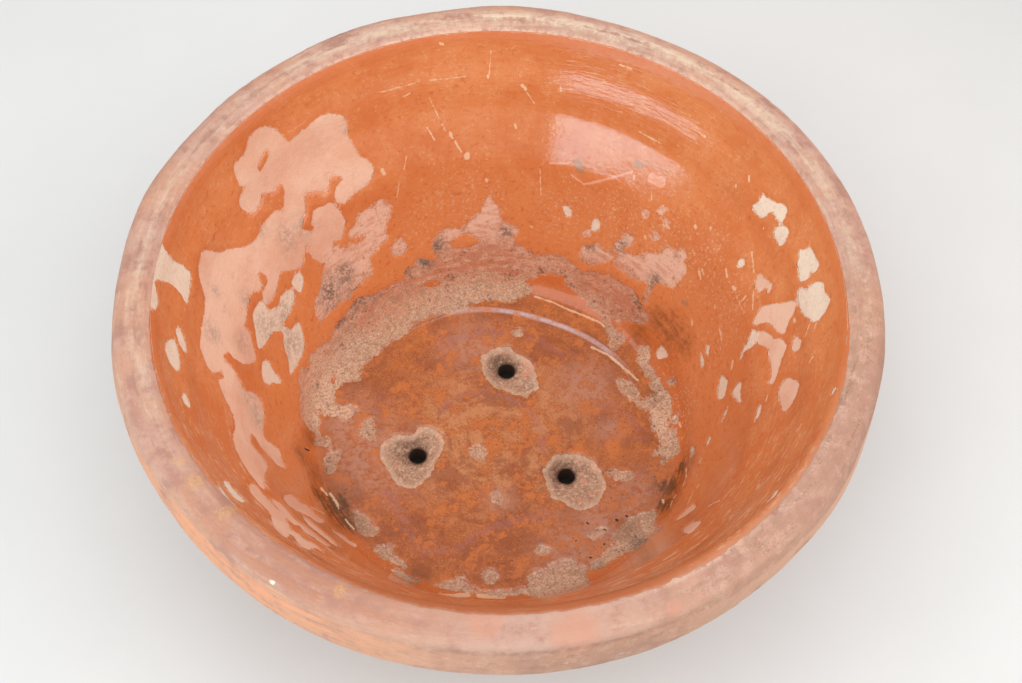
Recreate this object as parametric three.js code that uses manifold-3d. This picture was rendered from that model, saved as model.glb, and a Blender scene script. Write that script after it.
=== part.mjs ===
// A country terracotta bowl that was turned into a planter: a slab base with three drilled drain holes,
// a flared wall standing on it, a heavy rolled rim luted over the wall's top, and a glaze coat inside.
// Millimetres, +Z up, origin at the centre of the underside.
import * as THREE from "three";
import { mergeVertices } from "three/addons/utils/BufferGeometryUtils.js";
import Module from "manifold-3d";

// Overall form
const HEIGHT = 132; // table to the crest of the rim
const MOUTH_RADIUS = 145; // where the glaze ends under the rim
const FLOOR_RADIUS = 86; // where the wall's inner line meets the floor
const FLOOR_THICKNESS = 12;
const WALL_THICKNESS = 9.5;
const CORNER_RADIUS = 10; // inside corner between floor and wall
const FOOT_CHAMFER = 2; // worn edge round the underside

// Rolled rim
const RIM_WIDTH = 17.5; // mouth edge to the outside of the band
const RIM_HEIGHT = 28; // crest down to the lower lip of the band
const MOUTH_DROP = 2.5; // mouth edge below the crest
const CREST_SETBACK = 5.5; // mouth edge out to the crest
const ROLL_SETBACK = 1.2; // the upper roll stands in from the band by this much
const SHOULDER_RADIUS = 4.5; // outer edge of the upper roll
const SEAM_DROP = 5.5; // crest down to the fold seam
const SEAM_DEPTH = 0.5; // the fold seam cuts into the roll by this much
const LIP_WIDTH = 6; // rounding at the band's lower lip
const LAND_WIDTH = 2; // flat top of the wall that carries the rim

// Glaze coat
const GLAZE_THICKNESS = 0.5;

// Drain holes, with the clay that spalled away round each when it was drilled
const DRAIN_DIAMETER = 8;
const SPALL_RADIUS = 14;
const SPALL_DEPTH = 3;
const DRAIN_CIRCLE_RADIUS = 38;
const DRAIN_ANGLES = [84, 196, 329]; // degrees about +Z, from +X

// Fits
const LUTE_GAP = 0.1; // slip joint between the rim's bore and the wall
const GLAZE_GAP = 0.1; // glaze to clay
const CUT_PAST = 1; // a cutter reaches this far past what it cuts

// Facets
const TURNS = 72; // facets round the bowl
const DRAIN_TURNS = 24; // facets round a drain hole
const ARC_STEPS = 6; // facets along each round stretch of a section

const TERRACOTTA = { color: 0xcf9a80, roughness: 0.9, metalness: 0 };
const GLAZE = { color: 0xd66b34, roughness: 0.18, metalness: 0 };

// The wall's inner line runs straight from the floor to the mouth, and the outer line lies one thickness outside it.
const mouthHeight = HEIGHT - MOUTH_DROP;
const flare = Math.atan2(MOUTH_RADIUS - FLOOR_RADIUS, mouthHeight - FLOOR_THICKNESS); // from the vertical
const outerRadiusAt = (z) =>
  FLOOR_RADIUS + (z - FLOOR_THICKNESS) * Math.tan(flare) + WALL_THICKNESS / Math.cos(flare);

// The inside corner is an arc that leaves the floor at its toe and runs into the wall.
const cornerTurn = Math.PI / 2 - flare;
const toeRadius = FLOOR_RADIUS - CORNER_RADIUS * Math.tan(cornerTurn / 2);

// The rim's bore slips over the wall's top, down to where the wall's outer line reaches the same radius.
const seatRadius = MOUTH_RADIUS + LAND_WIDTH;
const seatHeight = FLOOR_THICKNESS + (seatRadius - outerRadiusAt(FLOOR_THICKNESS)) / Math.tan(flare);

// Inner line from the floor's corner to the mouth, moved off the clay by a distance towards the bowl's axis.
function innerLine(offset) {
  const points = [];
  for (let i = 0; i <= ARC_STEPS; i++) {
    const turn = (cornerTurn * i) / ARC_STEPS;
    const reach = CORNER_RADIUS - offset;
    points.push(
      new THREE.Vector2(
        toeRadius + reach * Math.sin(turn),
        FLOOR_THICKNESS + CORNER_RADIUS - reach * Math.cos(turn),
      ),
    );
  }
  points.push(
    new THREE.Vector2(MOUTH_RADIUS - offset * Math.cos(flare), mouthHeight + offset * Math.sin(flare)),
  );
  return points;
}

// Turns a section of (radius, height) points into a solid of revolution about +Z.
function turned(section, steps = TURNS) {
  const points = THREE.ShapeUtils.area(section) > 0 ? section : [...section].reverse();
  const onAxis = points[0].x === 0 && points[points.length - 1].x === 0;
  const outline = onAxis ? points : [...points, points[0].clone()];
  return new THREE.LatheGeometry(outline, steps).rotateX(Math.PI / 2);
}

const wasm = await Module();
wasm.setup();

// A closed geometry as a manifold solid, with the triangles that collapse on the axis left out.
function solidFrom(geometry) {
  const bare = geometry.clone();
  bare.deleteAttribute("normal");
  bare.deleteAttribute("uv");
  const merged = mergeVertices(bare, 1e-4);
  const index = merged.index.array;
  const triangles = [];
  for (let i = 0; i < index.length; i += 3) {
    const [a, b, c] = [index[i], index[i + 1], index[i + 2]];
    if (a !== b && b !== c && c !== a) triangles.push(a, b, c);
  }
  return new wasm.Manifold(
    new wasm.Mesh({
      numProp: 3,
      vertProperties: merged.attributes.position.array,
      triVerts: new Uint32Array(triangles),
    }),
  );
}

// A manifold solid back as a three.js geometry.
function geometryFrom(solid) {
  const mesh = solid.getMesh();
  const geometry = new THREE.BufferGeometry();
  geometry.setAttribute("position", new THREE.BufferAttribute(mesh.vertProperties, 3));
  geometry.setIndex(new THREE.BufferAttribute(mesh.triVerts, 1));
  geometry.computeVertexNormals();
  return geometry;
}

// Takes a turned cutter out of a geometry at each drain hole.
function drilled(geometry, cutterSection) {
  let solid = solidFrom(geometry);
  for (const angle of DRAIN_ANGLES) {
    const turn = THREE.MathUtils.degToRad(angle);
    const cutter = turned(cutterSection, DRAIN_TURNS);
    cutter.translate(DRAIN_CIRCLE_RADIUS * Math.cos(turn), DRAIN_CIRCLE_RADIUS * Math.sin(turn), 0);
    solid = solid.subtract(solidFrom(cutter));
  }
  return geometryFrom(solid);
}

// Slab base: a disc whose edge follows the wall's outer line, drilled with a cone of spalled clay over each hole.
function baseSlab() {
  const slab = [
    new THREE.Vector2(0, 0),
    new THREE.Vector2(outerRadiusAt(0) - FOOT_CHAMFER, 0),
    new THREE.Vector2(outerRadiusAt(FOOT_CHAMFER), FOOT_CHAMFER),
    new THREE.Vector2(outerRadiusAt(FLOOR_THICKNESS), FLOOR_THICKNESS),
    new THREE.Vector2(0, FLOOR_THICKNESS),
  ];
  const bore = DRAIN_DIAMETER / 2;
  const conePast = (CUT_PAST * (SPALL_RADIUS - bore)) / SPALL_DEPTH;
  const drill = [
    new THREE.Vector2(0, -CUT_PAST),
    new THREE.Vector2(bore, -CUT_PAST),
    new THREE.Vector2(bore, FLOOR_THICKNESS - SPALL_DEPTH),
    new THREE.Vector2(SPALL_RADIUS + conePast, FLOOR_THICKNESS + CUT_PAST),
    new THREE.Vector2(0, FLOOR_THICKNESS + CUT_PAST),
  ];
  return drilled(turned(slab), drill);
}

// Flared wall: stands on the slab, with the inside corner at its foot and a narrow land at its top.
function thrownWall() {
  return turned([
    ...innerLine(0),
    new THREE.Vector2(seatRadius, mouthHeight),
    new THREE.Vector2(seatRadius, seatHeight),
    new THREE.Vector2(outerRadiusAt(FLOOR_THICKNESS), FLOOR_THICKNESS),
  ]);
}

// Rolled rim: rests on the wall's land; an upper roll, a fold seam, and a band with an undercut lower lip.
function rolledRim() {
  const bore = seatRadius + LUTE_GAP;
  const bandRadius = MOUTH_RADIUS + RIM_WIDTH;
  const rollRadius = bandRadius - ROLL_SETBACK;
  const seamHeight = HEIGHT - SEAM_DROP;
  const lipHeight = HEIGHT - RIM_HEIGHT;
  const bandMiddle = (seamHeight + lipHeight) / 2;
  const section = new THREE.Path();
  section.moveTo(bore, seatHeight);
  section.lineTo(bore, mouthHeight);
  section.lineTo(MOUTH_RADIUS, mouthHeight);
  section.quadraticCurveTo(
    MOUTH_RADIUS + CREST_SETBACK / 2, HEIGHT, MOUTH_RADIUS + CREST_SETBACK, HEIGHT,
  );
  section.absarc(
    rollRadius - SHOULDER_RADIUS, HEIGHT - SHOULDER_RADIUS, SHOULDER_RADIUS, Math.PI / 2, 0, true,
  );
  section.lineTo(rollRadius - SEAM_DEPTH, seamHeight);
  section.quadraticCurveTo(bandRadius, seamHeight, bandRadius, bandMiddle);
  section.quadraticCurveTo(bandRadius, lipHeight, bandRadius - LIP_WIDTH, lipHeight);
  section.quadraticCurveTo(bore, lipHeight, bore, seatHeight);
  const points = section.getPoints(ARC_STEPS);
  points.pop(); // the path ends where it started
  return turned(points);
}

// Glaze on the wall: an even coat over the inner line, from the corner's toe up to the mouth.
function wallGlaze() {
  const back = innerLine(GLAZE_GAP);
  const front = innerLine(GLAZE_GAP + GLAZE_THICKNESS);
  return turned([...back, ...front.reverse()]);
}

// Glaze on the floor: an even coat inside the corner's toe, broken away round each drain hole.
function floorGlaze() {
  const bottom = FLOOR_THICKNESS + GLAZE_GAP;
  const top = bottom + GLAZE_THICKNESS;
  const edge = toeRadius - GLAZE_GAP;
  const coat = [
    new THREE.Vector2(0, bottom),
    new THREE.Vector2(edge, bottom),
    new THREE.Vector2(edge, top),
    new THREE.Vector2(0, top),
  ];
  const chip = [
    new THREE.Vector2(0, bottom - CUT_PAST),
    new THREE.Vector2(SPALL_RADIUS, bottom - CUT_PAST),
    new THREE.Vector2(SPALL_RADIUS, top + CUT_PAST),
    new THREE.Vector2(0, top + CUT_PAST),
  ];
  return drilled(turned(coat), chip);
}

const bowl = new THREE.Group();
bowl.name = "terracotta_bowl";
const clay = new THREE.MeshStandardMaterial(TERRACOTTA);
const glaze = new THREE.MeshStandardMaterial(GLAZE);
const pieces = [
  ["base_slab", baseSlab(), clay],
  ["thrown_wall", thrownWall(), clay],
  ["rolled_rim", rolledRim(), clay],
  ["wall_glaze", wallGlaze(), glaze],
  ["floor_glaze", floorGlaze(), glaze],
];
for (const [name, geometry, material] of pieces) {
  const mesh = new THREE.Mesh(geometry, material);
  mesh.name = name;
  bowl.add(mesh);
}

export default bowl;
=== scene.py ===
# %% [markdown]
# A country bowl of fired clay, drilled to make a planter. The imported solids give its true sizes, and this
# script dresses them: clay with throwing rings, a rim with a fold seam, and a glaze coat that flaked off in
# patches. Lengths are in millimetres until a mesh is made, because a potter thinks in millimetres.

import bpy
import numpy as np
from mathutils import Matrix, Vector


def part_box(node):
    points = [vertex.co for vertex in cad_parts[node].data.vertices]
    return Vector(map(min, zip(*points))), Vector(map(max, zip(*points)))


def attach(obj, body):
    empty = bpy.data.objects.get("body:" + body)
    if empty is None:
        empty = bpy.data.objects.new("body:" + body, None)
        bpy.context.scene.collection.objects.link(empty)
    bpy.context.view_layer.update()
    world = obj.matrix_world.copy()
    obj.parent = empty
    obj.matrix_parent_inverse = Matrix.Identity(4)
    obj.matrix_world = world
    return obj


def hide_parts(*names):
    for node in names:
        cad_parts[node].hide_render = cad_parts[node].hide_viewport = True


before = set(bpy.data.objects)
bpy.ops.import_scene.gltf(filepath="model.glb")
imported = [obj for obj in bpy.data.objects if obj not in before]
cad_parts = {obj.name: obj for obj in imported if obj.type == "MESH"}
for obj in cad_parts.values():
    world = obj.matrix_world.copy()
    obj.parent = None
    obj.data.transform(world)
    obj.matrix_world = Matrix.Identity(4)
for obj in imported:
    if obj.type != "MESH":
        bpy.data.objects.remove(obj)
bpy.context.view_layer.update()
MM = 0.001

# %% [markdown]
# Everything that has to fit comes from the frame: heights and radii are read from the boxes of the nodes.
# Only a few sizes inside a piece, such as the radius of the corner between floor and wall, are written
# here.

# %% Sizes
_, slab_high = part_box("base_slab")
_, wall_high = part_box("thrown_wall")
rim_low, rim_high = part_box("rolled_rim")

FLOOR_Z = slab_high.z / MM
MOUTH_Z = wall_high.z / MM
CREST_Z = rim_high.z / MM
LIP_Z = rim_low.z / MM
SEAT_RADIUS = wall_high.x / MM
RIM_RADIUS = rim_high.x / MM
SLAB_RADIUS = slab_high.x / MM
LAND_WIDTH = 2
MOUTH_RADIUS = SEAT_RADIUS - LAND_WIDTH
FLOOR_RADIUS = 86
CORNER_RADIUS = 10
FOOT_CHAMFER = 2
GLAZE_THICKNESS = 0.5
FLARE = np.arctan2(MOUTH_RADIUS - FLOOR_RADIUS, MOUTH_Z - FLOOR_Z)
CORNER_TURN = np.pi / 2 - FLARE
CORNER_REACH = CORNER_RADIUS * np.tan(CORNER_TURN / 2)
TOE_RADIUS = FLOOR_RADIUS - CORNER_REACH
print(f"rim {2 * RIM_RADIUS:.1f} across, {CREST_Z:.1f} tall, flare {np.degrees(FLARE):.1f} degrees")

# %% [markdown]
# The camera stands where the photographer stood. It was found by fitting the circles of the mouth, the rim
# and the floor. The same numbers turn a pixel of the picture into a ray, so wear that is seen at a pixel
# lands on the clay.

# %% Camera
IMAGE_SIZE = (1022, 683)
FOCAL_PIXELS = 2000
SENSOR_WIDTH = 36
CAMERA_DISTANCE = 836.4
CAMERA_ELEVATION, CAMERA_ROLL, AIM_RIGHT, AIM_UP = np.radians([55.36, -1.24, 0.35, 1.40])


def turn_matrix(angle, axis):
    """Rotation by an angle about one of the three axes."""
    return np.array(Matrix.Rotation(angle, 3, axis))


level = np.array([[1, 0, 0],
                  [0, np.sin(CAMERA_ELEVATION), np.cos(CAMERA_ELEVATION)],
                  [0, -np.cos(CAMERA_ELEVATION), np.sin(CAMERA_ELEVATION)]])
camera_axes = turn_matrix(CAMERA_ROLL, "Z") @ turn_matrix(AIM_UP, "X") @ turn_matrix(AIM_RIGHT, "Y") @ level
camera_place = level[2] * CAMERA_DISTANCE + [0, 0, MOUTH_Z]

camera_data = bpy.data.cameras.new("camera")
camera_data.sensor_width = SENSOR_WIDTH
camera_data.lens = SENSOR_WIDTH * FOCAL_PIXELS / IMAGE_SIZE[0]
camera = bpy.data.objects.new("camera", camera_data)
bpy.context.scene.collection.objects.link(camera)
pose = np.eye(4)
pose[:3, :3] = camera_axes.T
pose[:3, 3] = camera_place * MM
camera.matrix_world = Matrix(pose)
bpy.context.scene.camera = camera
print("camera at", np.round(camera_place, 1), "mm, lens", round(camera_data.lens, 2))

# %% [markdown]
# The inside of the bowl is one line turned about the axis: floor, corner, wall, and the bevel that leads
# over the rim. A point on it is told by its distance along that line from the centre, its reach, and by its
# angle. Unrolled flat, reach and angle make a plan on which floor and wall join without a seam, and all the
# wear is drawn on that plan.

# %% Inside line
CREST_SETBACK = 5.5
CURVE_STEPS = 24


def curve(start, pull, end, steps=CURVE_STEPS):
    """Quadratic curve from start to end, drawn towards a pull point."""
    t = np.linspace(0, 1, steps)[:, None]
    start, pull, end = (np.array(p, float) for p in (start, pull, end))
    return (1 - t) ** 2 * start + 2 * t * (1 - t) * pull + t ** 2 * end


def arc(centre, radius, first, last, steps=CURVE_STEPS):
    """Arc about a centre, from a first angle to a last, in degrees from +r towards +z."""
    a = np.radians(np.linspace(first, last, steps))
    return np.array(centre, float) + radius * np.stack([np.cos(a), np.sin(a)], 1)


bevel = curve((MOUTH_RADIUS, MOUTH_Z), (MOUTH_RADIUS + CREST_SETBACK / 2, CREST_Z),
              (MOUTH_RADIUS + CREST_SETBACK, CREST_Z))
corner = arc((TOE_RADIUS, FLOOR_Z + CORNER_RADIUS), CORNER_RADIUS, -90, -90 + np.degrees(CORNER_TURN))
inside = np.concatenate([[(0, FLOOR_Z)], corner, bevel])
inside_reach = np.concatenate([[0], np.cumsum(np.linalg.norm(np.diff(inside, axis=0), axis=1))])
WALL_REACH = TOE_RADIUS + CORNER_RADIUS * CORNER_TURN
MOUTH_REACH = WALL_REACH + np.hypot(*(bevel[0] - corner[-1]))


def inside_at(reach):
    """Radius, height and inward normal of the inside line at a reach, by interpolation along it."""
    radius = np.interp(reach, inside_reach, inside[:, 0])
    height = np.interp(reach, inside_reach, inside[:, 1])
    nudge = 0.5
    ahead, behind = reach + nudge, reach - nudge
    step_r, step_z = (np.interp(ahead, inside_reach, line) - np.interp(behind, inside_reach, line)
                      for line in inside.T)
    length = np.maximum(np.hypot(step_r, step_z), 1e-9)
    return radius, height, -step_z / length, step_r / length


print(f"reach: toe {TOE_RADIUS:.1f}, wall {WALL_REACH:.1f}, mouth {MOUTH_REACH:.1f}")

# %% [markdown]
# The wheel leaves rings. On the wall they are broad, about thirty millimetres apart, and they break the
# window's reflection into bands. On the floor they are finer. Clay and glaze share this relief, so the coat
# follows the clay.

# %% Throwing rings
RING_REACHES = [0, 94, 125, 153, 180, 192, 201, 214, 300]
RING_HEIGHTS = [0, 0, 0.5, 1.5, -1.5, -0.6, -1.15, 0, 0]
RING_BLUR, RING_STEP = 4, 0.5
FINE_PITCH, FINE_HEIGHT = 5.5, 0.035
FLOOR_PITCH, FLOOR_HEIGHT = 11, 0.08
STEP_RADIUS, STEP_HEIGHT, STEP_WIDTH = 72.6, 0.8, 3
STEP_MIDDLE, STEP_FLAT, STEP_FLAT_SPREAD = 70, 3.8, 27
WANDER, WANDER_TWICE = 1.2, 0.6
LEVEL_SPAN = 8
FINE_START, FINE_FULL = 34, 26
FLOOR_RINGS_START, FLOOR_RINGS_FULL, FLOOR_RINGS_END = 5, 45, 12


def fade(value, start, end):
    """Smooth step from 0 at start to 1 at end."""
    t = np.clip((value - start) / (end - start), 0, 1)
    return t * t * (3 - 2 * t)


ring_line = np.arange(0, RING_REACHES[-1], RING_STEP)
blur = np.hanning(2 * int(RING_BLUR / RING_STEP) + 3)
ring_rise = np.convolve(np.interp(ring_line, RING_REACHES, RING_HEIGHTS), blur / blur.sum(), "same")


def reach_of(plan):
    """Reach of plan points."""
    return np.hypot(plan[:, 0], plan[:, 1])


def angle_of(plan):
    """Angle of plan points round the bowl, from +X."""
    return np.arctan2(plan[:, 1], plan[:, 0])


def turn_from(angle, middle):
    """Angle in degrees from a middle, between -180 and 180."""
    return (np.degrees(angle) - middle + 180) % 360 - 180


def past_step(plan):
    """Reach past the low step that the potter's finger left on the floor; at the back it lies further in."""
    turn = np.degrees(angle_of(plan)) - STEP_MIDDLE
    return reach_of(plan) - STEP_RADIUS + STEP_FLAT * np.exp(-(turn / STEP_FLAT_SPREAD) ** 2)


def step_share(plan, full=55, none=110):
    """The step stands at the back of the floor and dies out between two angles from its middle."""
    return 1 - fade(np.abs(turn_from(angle_of(plan), STEP_MIDDLE)), full, none)


def relief(plan):
    """Height of the throwing rings over the plain inside: straight flanks with rounded tops.

    The rings wander off true circles by two sine waves of the angle."""
    reach, angle = reach_of(plan), angle_of(plan)
    wander = WANDER * np.sin(angle + 1) + WANDER_TWICE * np.sin(2 * angle)
    level_part = 1 - fade(reach, MOUTH_REACH - LEVEL_SPAN, MOUTH_REACH)
    broad = np.interp(reach + wander * level_part, ring_line, ring_rise) * level_part
    fine = FINE_HEIGHT * np.sin(2 * np.pi * (reach + 2 * wander) / FINE_PITCH)
    on_wall = fade(reach, MOUTH_REACH - FINE_START, MOUTH_REACH - FINE_FULL) * level_part
    rings = FLOOR_HEIGHT * np.sin(2 * np.pi * (reach + wander) / FLOOR_PITCH)
    rings = rings * fade(reach, FLOOR_RINGS_START, FLOOR_RINGS_FULL)
    on_floor = 1 - fade(reach, TOE_RADIUS - FLOOR_RINGS_END, TOE_RADIUS)
    step = STEP_HEIGHT * (fade(past_step(plan), -STEP_WIDTH / 2, STEP_WIDTH / 2) - 1) * step_share(plan)
    return broad + fine * on_wall + rings * on_floor + step


print("rings stand between", ring_rise.min().round(2), "and", ring_rise.max().round(2), "mm")

# %% [markdown]
# A ray through a pixel meets the floor or, further out, the wall's cone. The point where it lands goes on
# the plan. Blender can cast rays at a mesh too, but here the surface is a formula, so the crossing is
# worked out for all pixels at once.

# %% Pixels onto the plan
RAY_ROUNDS = 4


def pixel_rays(pixels):
    """Directions from the camera through pixels."""
    pixels = np.asarray(pixels, float)
    across = (pixels[:, 0] - IMAGE_SIZE[0] / 2) / FOCAL_PIXELS
    upward = (IMAGE_SIZE[1] / 2 - pixels[:, 1]) / FOCAL_PIXELS
    return np.stack([across, upward, -np.ones(len(pixels))], 1) @ camera_axes


def plan_from_pixels(pixels):
    """Plan points of pixels: ray to the floor, or past the corner to the wall's cone, and a blend between."""
    ray = pixel_rays(pixels)
    on_floor = camera_place + ray * ((FLOOR_Z - camera_place[2]) / ray[:, 2])[:, None]
    floor_radius = np.hypot(on_floor[:, 0], on_floor[:, 1])
    slope = np.tan(FLARE)
    a = ray[:, 0] ** 2 + ray[:, 1] ** 2 - (slope * ray[:, 2]) ** 2
    rise = np.zeros(len(ray))
    for _ in range(RAY_ROUNDS):
        above_apex = camera_place[2] - FLOOR_Z + (FLOOR_RADIUS - rise / np.cos(FLARE)) / slope
        b = ray[:, :2] @ camera_place[:2] - slope ** 2 * above_apex * ray[:, 2]
        c = camera_place[0] ** 2 + camera_place[1] ** 2 - (slope * above_apex) ** 2
        root = np.sqrt(np.maximum(b * b - a * c, 0))
        meets = np.stack([(-b - root) / a, (-b + root) / a])
        on_wall = camera_place + ray * np.where(meets > 0, meets, np.inf).min(0)[:, None]
        slant = (on_wall[:, 2] - FLOOR_Z) / np.cos(FLARE)
        wall_reach = WALL_REACH + slant - CORNER_REACH
        turn = on_wall[:, :2] / np.hypot(on_wall[:, 0], on_wall[:, 1])[:, None]
        rise = relief(turn * wall_reach[:, None])
    from_corner = np.where(floor_radius < FLOOR_RADIUS, floor_radius - FLOOR_RADIUS, slant)
    round_share = (from_corner + CORNER_REACH) / (2 * CORNER_REACH)
    reach = np.where(round_share < 0, floor_radius, TOE_RADIUS + round_share * (WALL_REACH - TOE_RADIUS))
    reach = np.where(round_share > 1, wall_reach, reach)
    hit = np.where((floor_radius < FLOOR_RADIUS)[:, None], on_floor, on_wall)
    return hit[:, :2] / np.hypot(hit[:, 0], hit[:, 1])[:, None] * reach[:, None]


print("a pixel near the middle lands at", np.round(plan_from_pixels([(511, 430)])[0], 1))

# %% [markdown]
# Noise for shapes is a sum of a few sine waves in seeded directions: smooth, cheap, and the same on every
# run. A Displace modifier with a noise texture would do the same to a finished mesh, but outlines need the
# noise before there is a mesh.

# %% Ripples
def ripple(points, size, seed, waves=9):
    """Smooth noise from about -1 to 1: sine waves of one size in seeded directions and phases, added up."""
    draw = np.random.default_rng(seed)
    points = np.asarray(points, float)
    heading = draw.normal(size=(points.shape[-1], waves))
    heading *= 2 * np.pi / size * draw.uniform(0.6, 1.5, waves) / np.linalg.norm(heading, axis=0)
    return np.sin(points @ heading + draw.uniform(0, 2 * np.pi, waves)).sum(-1) / waves ** 0.5 * 0.8


def ripples(points, seed, *waves):
    """Ripples added up: each is told as a height and a size, and takes the next seed."""
    return sum(height * ripple(points, size, seed + number) for number, (height, size) in enumerate(waves))


print("a ripple 1 high and 10 wide, at the centre:", ripples(np.zeros((1, 2)), 0, (1, 10)).round(2))

# %% [markdown]
# The wear is drawn on the picture, as closed outlines of pixels. First comes the bare salmon clay, where
# the glaze came off the left of the wall in sheets. A painted mask would do in a flat picture, but outlines
# can cut a mesh.

# %% Outlines of bare salmon clay
SALMON_CLOUD = [
    (320, 115), (338, 114), (346, 120), (347, 132), (354, 145), (360, 156), (368, 161), (373, 167),
    (372, 177), (366, 187), (356, 193), (350, 200), (344, 205), (337, 203), (335, 194), (338, 186),
    (345, 178), (340, 176), (331, 175), (329, 184), (326, 191), (318, 190), (305, 193), (305, 211),
    (302, 224), (303, 231), (311, 233), (310, 244), (285, 252), (262, 248), (259, 236), (262, 225),
    (275, 211), (283, 210), (284, 195), (282, 182), (276, 184), (272, 190), (261, 192), (259, 202),
    (250, 212), (241, 207), (239, 198), (243, 190), (248, 186), (239, 184), (233, 165), (241, 157),
    (245, 150), (248, 139), (257, 129), (267, 126), (276, 129), (288, 141), (297, 134), (308, 126),
]
SALMON_BLOB = [
    (314, 212), (322, 208), (331, 204), (337, 208), (343, 217), (345, 224), (342, 239), (335, 240),
    (333, 245), (338, 248), (334, 258), (322, 263), (310, 254), (309, 240), (314, 231), (312, 220),
]
SALMON_BODY = [
    (200, 254), (206, 250), (219, 252), (227, 249), (246, 246), (254, 241), (262, 234), (290, 240),
    (306, 246), (304, 259), (302, 267), (290, 271), (281, 273), (278, 285), (274, 297), (269, 305),
    (264, 301), (264, 291), (269, 280), (257, 271), (262, 285), (261, 291), (251, 295), (248, 306),
    (247, 320), (245, 327), (250, 333), (253, 345), (256, 358), (252, 363), (243, 364), (234, 358),
    (228, 352), (224, 357), (230, 372), (222, 371), (213, 372), (207, 367), (203, 357), (199, 346),
    (201, 328), (204, 305), (203, 292), (198, 274),
]
SALMON_STREAK = [
    (224, 362), (232, 367), (240, 381), (246, 391), (255, 394), (262, 403), (264, 418), (263, 431),
    (265, 439), (272, 444), (279, 450), (282, 461), (286, 468), (278, 466), (270, 457), (262, 448),
    (252, 433), (252, 444), (259, 453), (268, 465), (265, 475), (264, 490), (256, 481), (248, 471),
    (240, 458), (233, 440), (236, 428), (233, 414), (226, 400), (219, 383), (224, 378), (222, 370),
]
SALMON_LOW_STREAK = [
    (248, 486), (255, 485), (262, 493), (270, 502), (277, 508), (282, 512), (287, 516), (286, 520),
    (290, 528), (287, 537), (283, 537), (276, 530), (272, 524), (270, 516), (262, 506), (252, 496),
]
SALMON_STROKES = [
    [(288, 530), (296, 532), (302, 537), (309, 541), (318, 544), (327, 552), (315, 549), (308, 550),
     (300, 545), (293, 538)],
    [(272, 499), (280, 503), (287, 510), (294, 518), (300, 524), (296, 525), (288, 518), (279, 509)],
    [(300, 523), (310, 530), (320, 538), (331, 547), (325, 546), (314, 538), (303, 530)],
    [(311, 541), (318, 544), (326, 551), (321, 550), (313, 545)],
    [(284, 497), (291, 495), (299, 502), (307, 506), (316, 515), (324, 521), (318, 523), (308, 516),
     (297, 511), (288, 505)],
    [(303, 516), (311, 522), (320, 530), (331, 539), (338, 547), (330, 543), (319, 534), (309, 526)],
    [(331, 530), (340, 534), (349, 541), (356, 547), (348, 544), (339, 537)],
]
SALMON_RIM_LINE = [
    (290, 553), (300, 559), (310, 565), (322, 571), (339, 579), (330, 577), (318, 571), (306, 565),
    (296, 560),
]
PINK_RIGHT = [
    [(755, 318), (759, 311), (764, 306), (780, 303), (795, 300), (797, 305), (790, 320), (785, 333),
     (779, 332), (769, 322), (757, 325), (752, 324)],
    [(755, 334), (763, 332), (770, 335), (774, 340), (779, 338), (784, 342), (787, 347), (781, 362),
     (776, 378), (773, 384), (769, 383), (772, 372), (768, 354), (768, 348), (757, 343)],
    [(786, 379), (791, 378), (798, 381), (800, 386), (794, 402), (785, 411), (780, 399), (779, 391),
     (782, 384)],
    [(757, 277), (762, 273), (765, 278), (773, 284), (769, 292), (767, 287), (763, 289), (760, 294),
     (755, 283)],
    [(795, 338), (799, 336), (802, 341), (801, 347), (797, 351), (793, 348)],
    [(694, 504), (696, 507), (690, 513), (676, 521), (680, 516), (687, 509)],
    [(692, 523), (700, 522), (698, 526), (692, 532), (687, 534), (683, 530)],
]
SALMON = [SALMON_CLOUD, SALMON_BLOB, SALMON_BODY, SALMON_STREAK, SALMON_LOW_STREAK, SALMON_RIM_LINE,
          *SALMON_STROKES, *PINK_RIGHT]

# %% [markdown]
# Cream chips are places where the glaze took a skin of clay with it. They are small, so a few points each
# are enough.

# %% Outlines of cream chips
CREAM_LEFT = [
    [(161, 246), (165, 249), (170, 257), (176, 262), (183, 266), (189, 272), (190, 279), (188, 296),
     (186, 303), (180, 293), (175, 287), (168, 282), (157, 280), (155, 285), (158, 300), (157, 306),
     (152, 311), (150, 300), (152, 285), (154, 270), (157, 255)],
    [(171, 339), (175, 342), (177, 350), (179, 360), (178, 370), (173, 368), (169, 362), (164, 346),
     (167, 341)],
    [(178, 327), (181, 332), (186, 349), (184, 351), (180, 346), (175, 331)],
    [(184, 393), (188, 400), (189, 406), (186, 407), (181, 396)],
    [(225, 480), (234, 490), (244, 501), (240, 502), (234, 498), (224, 485)],
    [(217, 483), (221, 488), (227, 497), (237, 508), (232, 507), (225, 500)],
]
CREAM_RIGHT = [
    [(763, 192), (767, 197), (773, 200), (778, 203), (783, 203), (788, 209), (784, 219), (781, 222),
     (777, 218), (775, 212), (770, 211), (766, 215), (761, 216), (753, 207), (760, 200)],
    [(779, 226), (784, 226), (788, 228), (789, 234), (782, 246), (776, 237), (775, 230)],
    [(800, 250), (805, 250), (809, 246), (813, 250), (819, 262), (818, 269), (814, 272), (810, 269),
     (810, 276), (805, 280), (800, 278)],
    [(799, 291), (802, 287), (807, 290), (811, 285), (820, 281), (825, 284), (825, 291), (830, 296),
     (830, 303), (821, 318), (814, 322), (810, 317), (804, 314), (799, 299)],
    [(835, 386), (836, 389), (833, 394), (830, 397)],
    [(661, 346), (665, 349), (668, 355), (664, 358), (659, 358), (657, 353)],
    [(563, 207), (569, 208), (572, 213), (570, 218), (566, 215)],
    [(594, 219), (599, 222), (600, 227), (596, 231), (591, 231)],
]
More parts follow.
